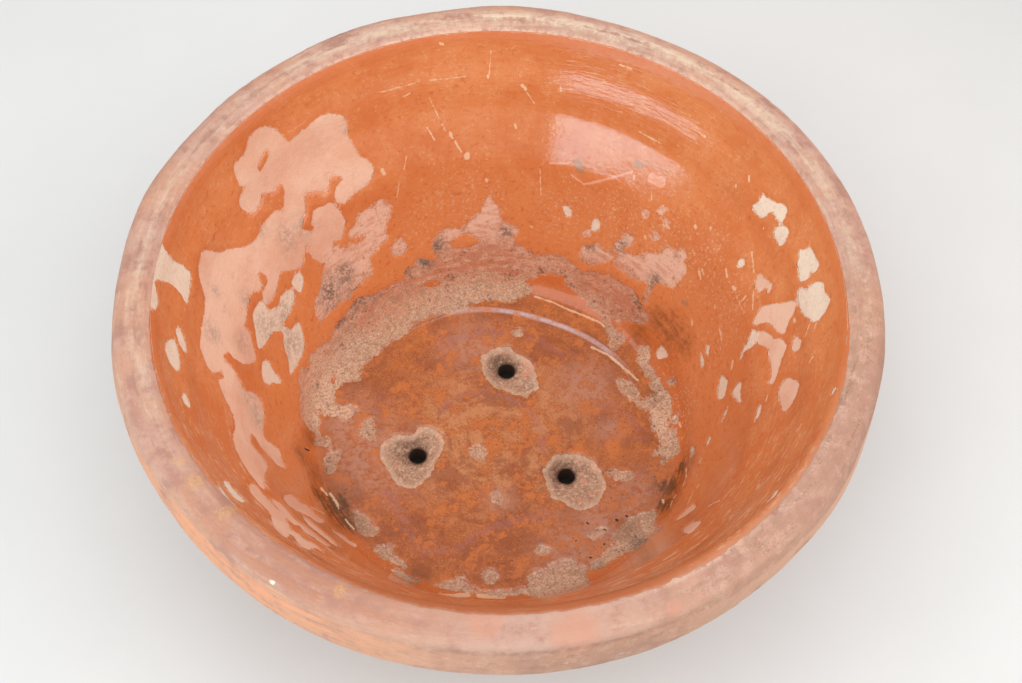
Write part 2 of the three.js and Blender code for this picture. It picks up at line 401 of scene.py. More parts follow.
CREAM_FLECKS = [
    [(752, 330), (756, 335), (755, 342), (751, 348), (745, 351), (742, 357), (739, 361), (743, 350),
     (748, 342)],
    [(742, 258), (745, 261), (744, 266), (739, 268), (737, 264)],
    [(721, 376), (727, 381), (725, 395), (722, 399), (718, 398), (718, 391)],
    [(738, 384), (741, 385), (739, 397), (742, 402), (738, 402), (733, 396), (733, 391)],
    [(706, 346), (709, 346), (709, 353), (707, 356)],
    [(701, 352), (703, 357), (704, 366), (701, 366)],
    [(759, 406), (761, 409), (758, 417), (753, 424)],
    [(725, 412), (727, 411), (724, 419), (721, 423)],
    [(709, 437), (711, 437), (709, 443), (706, 446)],
    [(691, 449), (694, 447), (694, 453), (691, 457)],
    [(776, 491), (778, 492), (773, 498), (768, 503)],
]
CREAM_GREY = [
    [(257, 308), (260, 303), (264, 302), (269, 311), (280, 305), (281, 297), (290, 290), (294, 293),
     (294, 303), (287, 318), (283, 321), (284, 326), (290, 330), (298, 323), (301, 328), (304, 346),
     (299, 361), (290, 375), (289, 362), (284, 345), (284, 334), (279, 331), (272, 333), (264, 346),
     (258, 348), (256, 330), (253, 316)],
    [(299, 273), (303, 277), (303, 286), (300, 293), (292, 284), (294, 278)],
    [(264, 361), (270, 364), (273, 371), (281, 380), (279, 384), (273, 382), (269, 385), (264, 381),
     (262, 372)],
]
CREAM = CREAM_LEFT + CREAM_RIGHT + CREAM_FLECKS + CREAM_GREY

# %% [markdown]
# Where the wall meets the floor, soil and spoons rubbed the glaze off in a greyish band with ragged edges.
# Its outlines are kept apart from the chips, because rubbed clay gets a finish of its own.

# %% Outlines of rubbed clay
WORN_BAND = [
    (302, 418), (300, 405), (301, 392), (299, 381), (302, 369), (309, 367), (311, 355), (320, 347),
    (331, 340), (336, 327), (343, 318), (352, 306), (358, 299), (372, 296), (383, 291), (395, 284),
    (407, 279), (405, 271), (414, 266), (421, 259), (433, 261), (443, 256), (434, 252), (435, 240),
    (442, 231), (460, 229), (469, 224), (476, 215), (482, 212), (485, 204), (489, 197), (494, 206),
    (499, 208), (499, 219), (507, 224), (517, 229), (515, 238), (510, 243), (519, 246), (527, 251),
    (536, 256), (558, 256), (573, 265), (583, 272), (603, 274), (620, 282), (634, 292), (643, 308),
    (650, 319), (640, 323), (630, 319), (621, 321), (608, 315), (596, 310), (588, 302), (575, 290),
    (567, 283), (563, 274), (550, 272), (535, 275), (524, 281), (531, 290), (521, 296), (510, 302),
    (496, 300), (476, 302), (464, 308), (450, 312), (435, 314), (420, 319), (410, 325), (401, 336),
    (389, 341), (379, 350), (369, 360), (360, 369), (359, 379), (345, 382), (336, 388), (333, 400),
    (338, 408), (352, 407), (357, 410), (345, 421), (338, 415), (325, 414), (318, 411), (316, 419),
    (317, 428), (310, 430),
]
WORN_LEFT = [
    [(383, 201), (391, 210), (386, 222), (384, 233), (387, 239), (377, 248), (368, 260), (372, 270),
     (360, 283), (353, 289), (350, 296), (338, 303), (320, 320), (315, 304), (321, 290), (323, 273),
     (328, 262), (324, 256), (336, 248), (350, 246), (361, 244), (365, 236), (352, 238), (349, 234),
     (355, 226), (358, 218), (370, 209)],
    [(399, 240), (404, 243), (406, 249), (400, 254), (393, 255), (392, 248)],
]
WORN_BACK_RIGHT = [
    [(583, 247), (590, 248), (597, 245), (600, 249), (611, 254), (612, 258), (600, 262), (593, 263),
     (581, 257)],
    [(620, 250), (624, 253), (634, 257), (646, 254), (660, 255), (667, 247), (674, 252), (680, 250),
     (686, 256), (683, 262), (686, 272), (679, 281), (676, 279), (674, 287), (662, 282), (655, 282),
     (652, 287), (646, 281), (634, 278), (617, 266), (616, 261)],
    [(628, 234), (633, 239), (632, 244), (619, 250), (614, 249), (620, 240)],
    [(649, 284), (650, 291), (647, 303), (645, 297)],
    [(645, 211), (648, 214), (645, 218), (642, 215)],
    [(660, 208), (666, 209), (664, 213), (659, 213)],
    [(664, 221), (668, 223), (668, 229), (665, 226)],
    [(654, 233), (658, 237), (659, 241), (653, 238)],
    [(584, 234), (588, 232), (590, 235), (586, 236)],
]
WORN_RIGHT = [
    [(644, 347), (649, 348), (650, 360), (646, 366), (655, 371), (649, 377), (645, 374), (640, 366),
     (638, 356)],
    [(652, 378), (658, 379), (664, 390), (672, 400), (671, 411), (668, 419), (668, 431), (671, 436),
     (675, 428), (678, 440), (681, 451), (678, 455), (663, 463), (664, 456), (655, 455), (662, 446),
     (658, 436), (653, 426), (650, 411), (638, 405), (654, 395), (650, 384)],
    [(618, 382), (623, 380), (633, 385), (640, 400), (636, 403), (626, 394)],
    [(603, 321), (608, 320), (615, 331), (624, 340), (612, 349), (610, 339)],
    [(673, 378), (676, 382), (673, 386), (669, 382)],
    [(678, 416), (680, 416), (676, 424), (675, 421)],
]
WORN_NEAR = [
    [(652, 513), (657, 514), (655, 527), (660, 529), (648, 541), (625, 556), (608, 565), (594, 571),
     (588, 570), (598, 561), (615, 545), (614, 538), (622, 527), (636, 518)],
    [(592, 534), (598, 530), (605, 529), (603, 534), (597, 538), (588, 537)],
    [(436, 587), (449, 584), (463, 578), (466, 589), (490, 593), (528, 589), (529, 577), (545, 570),
     (560, 562), (573, 562), (575, 570), (590, 566), (604, 560), (596, 570), (585, 577), (592, 584),
     (580, 590), (562, 594), (528, 597), (505, 598), (478, 595), (448, 590)],
    [(482, 576), (488, 572), (494, 573), (497, 578), (493, 582), (485, 581)],
    [(537, 551), (543, 546), (549, 549), (549, 553), (542, 554)],
    [(353, 513), (363, 517), (373, 527), (377, 533), (365, 535), (354, 524)],
    [(380, 547), (392, 549), (390, 554), (405, 568), (393, 563), (374, 553)],
    [(392, 573), (407, 577), (418, 583), (404, 581)],
    [(366, 421), (371, 420), (374, 438), (369, 439), (359, 432), (362, 426)],
    [(331, 453), (337, 453), (339, 456), (331, 474), (324, 464)],
    [(316, 435), (319, 436), (319, 443), (314, 447)],
    [(324, 438), (327, 439), (330, 448), (325, 446)],
]
CRUSTS = [
    [(609, 472), (615, 471), (621, 473), (628, 472), (632, 475), (628, 479), (621, 479), (609, 475)],
    [(472, 449), (478, 447), (483, 450), (486, 454), (483, 458), (477, 459), (470, 455)],
    [(491, 496), (495, 494), (499, 497), (502, 500), (499, 503), (494, 501)],
    [(513, 331), (517, 328), (521, 329), (521, 333), (516, 335)],
]
WORN = [WORN_BAND, *WORN_LEFT, *WORN_BACK_RIGHT, *WORN_RIGHT, *WORN_NEAR, *CRUSTS]

# %% [markdown]
# Some glaze was left standing inside the bare places, and round each drain hole the drill broke clay away.

# %% Glaze islands and spalls
GLAZE_ISLANDS = [
    [(266, 147), (269, 151), (267, 158), (260, 171), (257, 169), (259, 160)],
    [(449, 245), (455, 238), (467, 233), (477, 239), (482, 241), (463, 249)],
    [(425, 282), (432, 280), (440, 281), (441, 284), (434, 287), (424, 286)],
    [(498, 273), (504, 271), (510, 272), (510, 275), (500, 275)],
    [(334, 368), (337, 369), (335, 374), (334, 385), (330, 384), (328, 379)],
]
SPALLS = [
    [(481, 357), (486, 353), (491, 349), (503, 346), (509, 346), (518, 354), (530, 360), (536, 372),
     (536, 378), (539, 384), (537, 389), (529, 393), (527, 398), (517, 394), (503, 390), (491, 384),
     (483, 371)],
    [(417, 429), (424, 427), (439, 431), (444, 442), (440, 455), (433, 469), (431, 475), (420, 485),
     (414, 489), (406, 488), (394, 481), (386, 467), (379, 452), (385, 441), (398, 435), (411, 436)],
    [(543, 469), (548, 463), (551, 458), (562, 454), (578, 454), (592, 460), (602, 473), (606, 486),
     (600, 500), (589, 509), (576, 510), (564, 503), (551, 497), (547, 485)],
]
print(len(SALMON), "salmon,", len(CREAM), "cream,", len(WORN), "rubbed outlines,", len(SPALLS), "spalls")

# %% [markdown]
# Each outline becomes a smooth closed curve on the plan. What the meshes need from it is a signed distance:
# how far a point lies from the edge, below zero inside. The least distance over many outlines joins them
# into one shape.

# %% Distances to outlines
FAR = 25


def smooth_outline(pixels, steps=3):
    """Closed curve through the plan points of pixels: between two points, a cubic set by their neighbours."""
    p = plan_from_pixels(pixels)
    before, after, beyond = np.roll(p, 1, 0), np.roll(p, -1, 0), np.roll(p, -2, 0)
    t = np.linspace(0, 1, steps, endpoint=False)[None, :, None]
    p, before, after, beyond = (q[:, None] for q in (p, before, after, beyond))
    bend = 2 * before - 5 * p + 4 * after - beyond
    twist = 3 * (p - after) + beyond - before
    return (p + 0.5 * t * (after - before + t * (bend + t * twist))).reshape(-1, 2)


def outline_distance(points, outline):
    """Signed distance to a closed outline: nearest edge, below zero where a ray crosses oddly many edges."""
    result = np.full(len(points), float(FAR))
    near = np.all((points > outline.min(0) - FAR) & (points < outline.max(0) + FAR), axis=1)
    start, edge = outline, np.roll(outline, -1, 0) - outline
    for part in np.array_split(np.flatnonzero(near), max(1, near.sum() // 4000)):
        offset = points[part][:, None] - start
        share = np.clip((offset * edge).sum(2) / np.maximum((edge ** 2).sum(1), 1e-9), 0, 1)
        gap = np.linalg.norm(offset - share[..., None] * edge, axis=2).min(1)
        crosses = (offset[..., 1] >= 0) != (offset[..., 1] >= edge[:, 1])
        height = np.where(edge[:, 1] == 0, 1, edge[:, 1])
        right_of = offset[..., 0] < offset[..., 1] / height * edge[:, 0]
        odd = (crosses & right_of).sum(1) % 2 == 1
        result[part] = np.minimum(np.where(odd, -gap, gap), FAR)
    return result


def nearest(points, outlines):
    """Least signed distance to any of the outlines: they join into one shape."""
    return np.min([outline_distance(points, outline) for outline in outlines], axis=0)


salmon_outlines, cream_outlines, worn_outlines, island_outlines, spall_outlines = (
    [smooth_outline(pixels) for pixels in outlines]
    for outlines in (SALMON, CREAM, WORN, GLAZE_ISLANDS, SPALLS))


def glaze_loss(points):
    """How deep a plan point lies inside lost glaze, in millimetres: above zero where the clay is bare."""
    crisp = nearest(points, salmon_outlines + cream_outlines + spall_outlines)
    crisp = crisp + ripples(points, 11, (0.4, 5), (0.2, 2.2))
    rubbed = nearest(points, worn_outlines) + ripples(points, 13, (0.8, 8), (0.4, 4))
    return np.minimum(-np.minimum(crisp, rubbed), nearest(points, island_outlines))


print("outlines on the plan:", len(salmon_outlines + cream_outlines + worn_outlines + island_outlines))

# %% [markdown]
# With rings and lift, a plan point rolls back up into the bowl. One helper makes every mesh.

# %% Rolling up
def inside_points(plan, lift):
    """Points on the inside: the plan rolled back up, with relief and a lift along the inward normal."""
    angle = angle_of(plan)
    radius, height, out, up = inside_at(reach_of(plan))
    rise = relief(plan) + lift
    radius = radius + out * rise
    return np.stack([radius * np.cos(angle), radius * np.sin(angle), height + up * rise], 1)


def mesh_piece(name, points, faces, layers, crease=35):
    """Object from points in millimetres, faces and named per-point values, sharp past the crease angle."""
    mesh = bpy.data.meshes.new(name)
    mesh.from_pydata((points * MM).tolist(), [], faces.tolist())
    for key, values in layers.items():
        values = np.asarray(values, np.float32)
        kind, field = ("FLOAT", "value") if values.ndim == 1 else ("FLOAT_VECTOR", "vector")
        mesh.attributes.new(key, kind, "POINT").data.foreach_set(field, values.ravel())
    mesh.polygons.foreach_set("use_smooth", np.ones(len(mesh.polygons), bool))
    mesh.set_sharp_from_angle(angle=np.radians(crease))
    mesh.update()
    piece = bpy.data.objects.new(name, mesh)
    bpy.context.scene.collection.objects.link(piece)
    print(f"{name}: {len(points)} points, {len(faces)} faces")
    return piece


# %% [markdown]
# A glaze coat with holes is a grid cut along an outline. Grid points close to the edge are moved onto it,
# squares are split along the diagonal that doesn't cross it, and triangles in the hole are left out. The
# sheet is then closed: the same triangles again as a back, and walls along every open edge.

# %% Cut sheets
# The back of a sheet keeps the bore value, which paints the drain holes dark as shade, and the ring place.
KEPT_BEHIND = ("bore", "ring")


def cut_sheet(name, plan, loss, columns_close, surfaces, layers):
    """Closed sheet over a grid of plan points, kept where loss is below zero, with its edge on loss zero."""
    rows, columns = plan.shape[:2]
    flat = plan.reshape(-1, 2).copy()
    depth = loss(flat)
    side = np.roll(plan, -1, 1) - plan
    if not columns_close:
        side[:, -1] = side[:, -2]
    ahead = np.diff(plan, axis=0, append=plan[-1:] * 2 - plan[-2:-1])
    spacing = np.linalg.norm(np.stack([side, ahead]), axis=-1).max(0).ravel()
    close = np.flatnonzero(np.abs(depth) < spacing)
    probe = 0.05
    slope = np.stack([loss(flat[close] + [probe, 0]) - loss(flat[close] - [probe, 0]),
                      loss(flat[close] + [0, probe]) - loss(flat[close] - [0, probe])], 1) / (2 * probe)
    side_rise = np.abs((slope * side.reshape(-1, 2)[close]).sum(1))
    ahead_rise = np.abs((slope * ahead.reshape(-1, 2)[close]).sum(1))
    moved = np.abs(depth[close]) <= 0.5 * np.maximum(side_rise, ahead_rise)
    steep = np.maximum((slope ** 2).sum(1), 0.3)
    chosen = close[moved]
    flat[chosen] -= (depth[close] / steep)[moved, None] * slope[moved]
    state = np.sign(depth).astype(int)
    state[chosen] = 0

    index = np.arange(rows * columns).reshape(rows, columns)
    last = columns if columns_close else columns - 1
    a, b = index[:-1, :last].ravel(), np.roll(index, -1, 1)[:-1, :last].ravel()
    d, c = index[1:, :last].ravel(), np.roll(index, -1, 1)[1:, :last].ravel()
    swap = state[a] * state[c] < 0
    first = np.where(swap[:, None], np.stack([a, b, d], 1), np.stack([a, b, c], 1))
    second = np.where(swap[:, None], np.stack([b, c, d], 1), np.stack([a, c, d], 1))
    triangles = np.concatenate([first, second])
    kinds = state[triangles]
    middle = loss(flat[triangles].mean(1))
    kept = triangles[(kinds.max(1) <= 0) & ((kinds.min(1) < 0) | (middle < 0))]

    used, kept = np.unique(kept, return_inverse=True)
    kept = kept.reshape(-1, 3)
    flat = flat[used]
    top, back = surfaces(flat)
    count = len(used)
    edges = np.concatenate([kept[:, [0, 1]], kept[:, [1, 2]], kept[:, [2, 0]]])
    codes = edges[:, 0] * count + edges[:, 1]
    open_edges = edges[~np.isin(codes, edges[:, 1] * count + edges[:, 0])]
    start, end = open_edges[:, 0], open_edges[:, 1]
    walls = np.concatenate([np.stack([start, start + count, end], 1),
                            np.stack([end, start + count, end + count], 1)])
    faces = np.concatenate([kept, kept[:, ::-1] + count, walls])
    values = {key: np.concatenate([value, value * (key in KEPT_BEHIND)])
              for key, value in layers(flat).items()}
    return mesh_piece(name, np.concatenate([top, back]), faces, values)


def square_grid(reach, step):
    """Square grid of plan points, from -reach to reach both ways."""
    line = np.linspace(-reach, reach, 2 * int(round(reach / step)) + 1)
    across, deep = np.meshgrid(line, line)
    return np.stack([across, deep], -1)


def ring_grid(first, last, rows, columns):
    """Grid of plan points in rings: rows in reach, columns round the bowl."""
    reach = np.linspace(first, last, rows)[:, None]
    angle = np.linspace(0, 2 * np.pi, columns, endpoint=False)[None]
    return np.stack([reach * np.cos(angle), reach * np.sin(angle)], -1)


# %% [markdown]
# Stains, soot, haze, smudges, rust, sand and peppered chips are soft round marks at given pixels, each
# with a size in millimetres, and tide marks are soft lines. Texture painting could make them too, but marks
# that are told as places can be moved one by one.

# %% Soft marks
SOFT_MARKS = {
    "stain": [
        ((340, 512), 14), ((330, 495), 8), ((352, 528), 8), ((672, 330), 11), ((660, 320), 8),
        ((684, 342), 8), ((678, 484), 12), ((668, 505), 10), ((688, 464), 8), ((575, 592), 10),
        ((300, 455), 7), ((318, 478), 10), ((655, 395), 5), ((640, 335), 7), ((625, 530), 6),
        ((420, 574), 7), ((310, 440), 6), ((595, 585), 8),
    ],
    "soot": [
        ((318, 496), 9), ((333, 508), 12), ((345, 524), 9), ((672, 490), 8), ((667, 507), 8),
        ((683, 468), 6), ((575, 592), 6), ((650, 538), 5),
    ],
    "haze": [
        ((368, 462), 26), ((352, 425), 18), ((585, 385), 16), ((470, 345), 16), ((610, 430), 8),
        ((500, 500), 8), ((605, 528), 20), ((640, 500), 16), ((570, 552), 16),
    ],
    "smudge": [
        ((243, 343), 7), ((212, 333), 7), ((252, 403), 9), ((258, 420), 8), ((250, 235), 4),
        ((262, 230), 5), ((288, 240), 9), ((303, 228), 8), ((247, 300), 6), ((266, 458), 7),
        ((345, 130), 2), ((215, 290), 4), ((356, 300), 7), ((372, 289), 6), ((402, 268), 6),
        ((425, 262), 5), ((340, 320), 5), ((438, 246), 5), ((590, 246), 4), ((655, 282), 5),
        ((620, 247), 5), ((330, 292), 9), ((345, 275), 7), ((284, 312), 10), ((292, 345), 10),
        ((268, 330), 10), ((560, 595), 9), ((600, 575), 6), ((640, 545), 5), ((505, 232), 4),
        ((640, 300), 5),
    ],
    "rust": [
        ((612, 296), 22), ((596, 284), 14), ((630, 308), 12), ((470, 262), 14), ((500, 262), 14),
        ((440, 272), 10), ((392, 302), 12), ((372, 316), 10), ((420, 290), 10),
    ],
    "sandy": [
        ((316, 374), 18), ((324, 404), 16), ((345, 408), 8), ((660, 398), 8), ((664, 425), 10),
        ((646, 356), 6),
    ],
    "pepper": [
        ((470, 205), 22), ((425, 232), 16), ((560, 215), 18), ((620, 222), 22), ((665, 240), 20),
        ((700, 262), 20), ((690, 400), 14), ((715, 350), 16), ((700, 470), 12), ((330, 345), 12),
        ((300, 380), 10), ((735, 300), 16), ((318, 528), 14), ((298, 503), 10), ((352, 548), 12),
        ((385, 572), 10),
    ],
}
TIDES = [
    [(442, 412), (462, 392), (500, 395), (525, 407), (540, 430), (543, 452)],
    [(388, 488), (402, 520), (420, 548), (455, 551), (490, 527), (550, 515)],
    [(440, 345), (480, 331), (525, 336), (560, 352)],
    [(600, 405), (630, 415), (640, 440)],
]


def spots(plan, marks):
    """Soft round marks at pixels: 1 in the middle of a mark, 0 well past its size in millimetres."""
    value = np.zeros(len(plan))
    for middle, (pixel, size) in zip(plan_from_pixels([pixel for pixel, size in marks]), marks):
        value = np.maximum(value, 1 - fade(np.linalg.norm(plan - middle, axis=1), 0, 1.6 * size))
    return value


tide_lines = [smooth_outline(line + line[-2:0:-1]) for line in TIDES]
print({key: len(marks) for key, marks in SOFT_MARKS.items()}, "and", len(TIDES), "tide marks")

# %% [markdown]
# Wear values say of each point how cream, how rubbed and how stained it is, and the finishes read them as
# attributes. One value is a place along the rings, so that a noise on it runs in streaks round the bowl,
# and one is the plan itself, for single scratches.

# %% Wear values
STREAK = 0.15
REACH_UNIT = 100
GLAZE_OVER_TURNS = [-180, -150, -120, -104, -85, -55, -40, -20, 0, 180]
GLAZE_OVER = [0.4, 1.5, 1.8, 4.4, 5, 5.3, 4.1, 2.6, 0.4, 0.4]


def glaze_edge(plan):
    """Reach of the glaze's upper edge: the mouth, and further over the bevel on the near side."""
    wander = ripples(plan, 21, (0.3, 16), (0.25, 6), (0.15, 3)) * (0.35 + 0.65 * fade(-plan[:, 1], 0, 90))
    return MOUTH_REACH + np.interp(np.degrees(angle_of(plan)), GLAZE_OVER_TURNS, GLAZE_OVER) + wander


def wear_layers(plan):
    """Per-point values for the finishes: mostly 1 inside a kind of wear, fading to 0 outside it."""
    reach, nearness = reach_of(plan), -np.sin(angle_of(plan))
    ragged = ripples(plan, 31, (1.2, 7))
    to_worn = nearest(plan, worn_outlines)
    to_spall = nearest(plan, spall_outlines)
    in_island = -2.5 * nearest(plan, island_outlines)
    to_chip = np.maximum(nearest(plan, salmon_outlines + cream_outlines), in_island)
    layers = {key: spots(plan, marks) for key, marks in SOFT_MARKS.items()}
    return layers | {
        "cream": 1 - fade(nearest(plan, cream_outlines) + ragged * 0.4, 0.5, 2.5),
        "worn": 1 - fade(to_worn + ragged, 0.5, 3),
        "fray": 1 - fade(to_chip, -0.4, 1.8),
        "scuff": 1 - fade(np.maximum(to_worn, in_island), 0, 4),
        "spall": 1 - fade(to_spall, 0.2, 1.2),
        "brink": 1 - fade(-to_spall, 0.8, 3.5),
        "tide": 1 - fade(np.abs(nearest(plan, tide_lines)) + ragged, 0, 3),
        "reach": reach / REACH_UNIT,
        "step": past_step(plan),
        "ridge": step_share(plan),
        # The shine value tells where along the step the glaze gets its painted highlight.
        "shine": step_share(plan, 15, 48),
        "lip": glaze_edge(plan) - reach,
        "near": fade(nearness, 0.1, 0.7),
        "front": fade(nearness, 0.78, 0.96),
        "inside": np.ones(len(plan)),
        "ring": np.column_stack([plan * STREAK, reach]) * MM,
        "plan": np.column_stack([plan, 0 * reach]),
    }


print("wear values:", ", ".join(wear_layers(np.ones((1, 2)))))

# %% [markdown]
# The glaze on the wall runs from the corner's toe to the mouth. On the near side it was brushed a little
# over the bevel of the rim. It is a ring grid, cut along the flaked patches and along that upper edge.

# %% Wall glaze
EDGE_GLAZE, TOP_GLAZE = 0.14, 0.06
SKIN_GAP = 0.02
BRUSHED_PAST = 7.5
GLAZE_ROWS, GLAZE_TURNS = 88, 512


def wall_loss(plan):
    """Lost glaze on the wall: the patches, and everything past the upper edge."""
    return np.maximum(glaze_loss(plan), reach_of(plan) - glaze_edge(plan))


def glaze_faces(plan):
    """Front and back of a coat that thins towards the edges of its losses and towards its upper edge."""
    lift = GLAZE_THICKNESS + (EDGE_GLAZE - GLAZE_THICKNESS) * fade(glaze_loss(plan), -1.6, 0)
    past_edge = reach_of(plan) - glaze_edge(plan)
    lift = lift + (TOP_GLAZE - lift) * fade(past_edge, -4, 0)
    return inside_points(plan, lift), inside_points(plan, SKIN_GAP)


wall_grid = ring_grid(TOE_RADIUS, MOUTH_REACH + BRUSHED_PAST, GLAZE_ROWS, GLAZE_TURNS)[:, ::-1]
wall_glaze = cut_sheet("wall_glaze_coat", wall_grid, wall_loss, True, glaze_faces, wear_layers)

# %% [markdown]
# The floor's glaze is a sheet of its own, cut the same way from a square grid, because rings would crowd
# together at the centre. It ends at the wall's toe, where the other sheet starts.

# %% Floor glaze
GRID_PAST = 2
FLOOR_STEP = 1.0


def floor_loss(plan):
    """Lost glaze on the floor: the patches and spalls, and everything past the toe of the wall."""
    return np.maximum(glaze_loss(plan), reach_of(plan) - TOE_RADIUS)


floor_glaze = cut_sheet("floor_glaze_coat", square_grid(TOE_RADIUS + GRID_PAST, FLOOR_STEP),
                        floor_loss, False, glaze_faces, wear_layers)

# %% [markdown]
# The slab is a thick sheet on a square grid. Its holes are cut like the glaze's, so their walls come from
# the same helper. Round each hole the clay spalled: depth grows from the spall's edge to the hole, in rough
# steps.

# %% Base slab
DRAIN_CIRCLE = 38
DRAIN_ANGLES = np.radians([84, 196, 329])
DRAIN_RADIUS = 4
SPALL_DEPTH = 3
SHADE_OFFSET = np.array([-2.5, 2])
SLAB_STEP = 1.05
drains = DRAIN_CIRCLE * np.stack([np.cos(DRAIN_ANGLES), np.sin(DRAIN_ANGLES)], 1)
slab_foot = SLAB_RADIUS - FLOOR_Z * np.tan(FLARE)


def from_drains(plan, offset=0):
    """Distance to the middle of the nearest drain hole, or to a point beside it."""
    return np.linalg.norm(plan[:, None] - drains - offset, axis=2).min(1)


def slab_loss(plan):
    """Outside the slab's edge or inside a drain hole."""
    past_hole = from_drains(plan) - DRAIN_RADIUS + ripples(plan, 41, (0.15, 4))
    return np.maximum(reach_of(plan) - SLAB_RADIUS, -past_hole)


def slab_faces(plan):
    """Floor with craters above, and the flat underside drawn in to the foot below."""
    to_hole = np.maximum(from_drains(plan) - DRAIN_RADIUS, 0)
    inside_spall = np.maximum(-nearest(plan, spall_outlines), 0)
    share = inside_spall / np.maximum(inside_spall + to_hole, 1e-6)
    rough = ripples(plan, 42, (0.5, 6), (0.25, 2.5))
    crater = SPALL_DEPTH * (0.18 * fade(inside_spall, 0, 1) + 0.82 * share ** 1.2)
    crater = crater + rough * fade(inside_spall, 0, 2.5) * (1 - share ** 4)
    radius = reach_of(plan)
    top = inside_points(plan * np.minimum(1, TOE_RADIUS / np.maximum(radius, 1))[:, None], 0)
    top[:, :2] = plan
    top[:, 2] -= crater
    outer = fade(radius, SLAB_RADIUS - 8, SLAB_RADIUS)
    drawn_in = 1 - outer * (SLAB_RADIUS - slab_foot) / SLAB_RADIUS
    lifted = FOOT_CHAMFER * fade(radius, SLAB_RADIUS - FOOT_CHAMFER - 1, SLAB_RADIUS)
    return top, np.concatenate([plan * drawn_in[:, None], lifted[:, None]], 1)


def slab_layers(plan):
    """Wear values of the floor, how near a point lies to a drain hole, for painted shade down the holes, and
    how deep in a spall's painted shade.
    """
    # bore is 1 at a drain hole's edge and fades out over about a millimetre; it carries painted shade down
    # the holes.
    bore = 1 - fade(from_drains(plan) - DRAIN_RADIUS, 0.1, 1.2)
    return wear_layers(plan) | {"bore": bore, "deep": 1 - fade(from_drains(plan, SHADE_OFFSET), 3, 11)}


base_slab = cut_sheet("clay_slab", square_grid(SLAB_RADIUS + GRID_PAST, SLAB_STEP),
                      slab_loss, False, slab_faces, slab_layers)

# %% [markdown]
# Wall and rim are closed sections turned about the axis, as a Screw modifier would turn them. Written as
# arrays, each turn of the section can also differ a little from the next.

# %% Turned rings
def ring_piece(name, rings, layers):
    """Closed ring from an array of sections (round, along, xyz); both ways it joins its own start."""
    turns, along = rings.shape[:2]
    index = np.arange(turns * along).reshape(turns, along)
    right = np.roll(index, -1, 0)
    faces = np.stack([index, right, np.roll(right, -1, 1), np.roll(index, -1, 1)], -1).reshape(-1, 4)
    return mesh_piece(name, rings.reshape(-1, 3), faces, layers)


def spread(line, count):
    """A line of points laid out again at even distances."""
    run = np.concatenate([[0], np.cumsum(np.linalg.norm(np.diff(line, axis=0), axis=1))])
    even = np.linspace(0, run[-1], count)
    return np.stack([np.interp(even, run, line[:, 0]), np.interp(even, run, line[:, 1])], 1)


# %% [markdown]
# The wall's section runs up the inside with its rings, over the land that carries the rim, and down the
# outside, where the potter's fingers left finer rings. Wear values lie on its inside only.

# %% Thrown wall
WALL_TURNS = 512
INNER_ROWS, OUTER_ROWS = 84, 34
FINGER_RINGS = [(0.35, 9, 0), (0.25, 17, 1)]
PLAIN_TOP, PLAIN_FOOT = 14, 8
seat_z = FLOOR_Z + (SEAT_RADIUS - SLAB_RADIUS) / np.tan(FLARE)
wall_angle = np.linspace(0, 2 * np.pi, WALL_TURNS, endpoint=False)
inner_plan = ring_grid(TOE_RADIUS, MOUTH_REACH, INNER_ROWS, WALL_TURNS).transpose(1, 0, 2).reshape(-1, 2)
inner = inside_points(inner_plan, 0).reshape(WALL_TURNS, INNER_ROWS, 3)
outer_corners = np.array([(SEAT_RADIUS, MOUTH_Z), (SEAT_RADIUS, seat_z), (SLAB_RADIUS, FLOOR_Z)])
outer_r, outer_z = spread(outer_corners, OUTER_ROWS).T
outer_rise = sum(height * np.sin(2 * np.pi * outer_z / pitch + phase)
                 for height, pitch, phase in FINGER_RINGS)
outer_rise = outer_rise * (1 - fade(outer_z, seat_z - PLAIN_TOP, seat_z))
outer_r = outer_r + outer_rise * fade(outer_z, FLOOR_Z, FLOOR_Z + PLAIN_FOOT)
outer = np.stack([np.cos(wall_angle)[:, None] * outer_r, np.sin(wall_angle)[:, None] * outer_r,
                  np.tile(outer_z, (WALL_TURNS, 1))], -1)
outer_ring = outer * [STREAK, STREAK, 1] * MM
wall_layers = {}
for key, value in wear_layers(inner_plan).items():
    value = value.reshape(WALL_TURNS, INNER_ROWS, -1)
    behind = outer_ring if key == "ring" else np.zeros((WALL_TURNS, OUTER_ROWS, value.shape[2]))
    both = np.concatenate([value, behind], 1)[:, ::-1]
    wall_layers[key] = both.ravel() if value.shape[2] == 1 else both.reshape(-1, 3)
thrown_wall = ring_piece("clay_wall", np.concatenate([inner, outer], 1)[:, ::-1], wall_layers)

# %% [markdown]
# The rim's section follows its solid: bevel, upper roll, fold seam, band and undercut lip, softened a
# little. Then it swells, dents and bulges as thrown clay does, except at the mouth, where it has to meet
# the glaze.

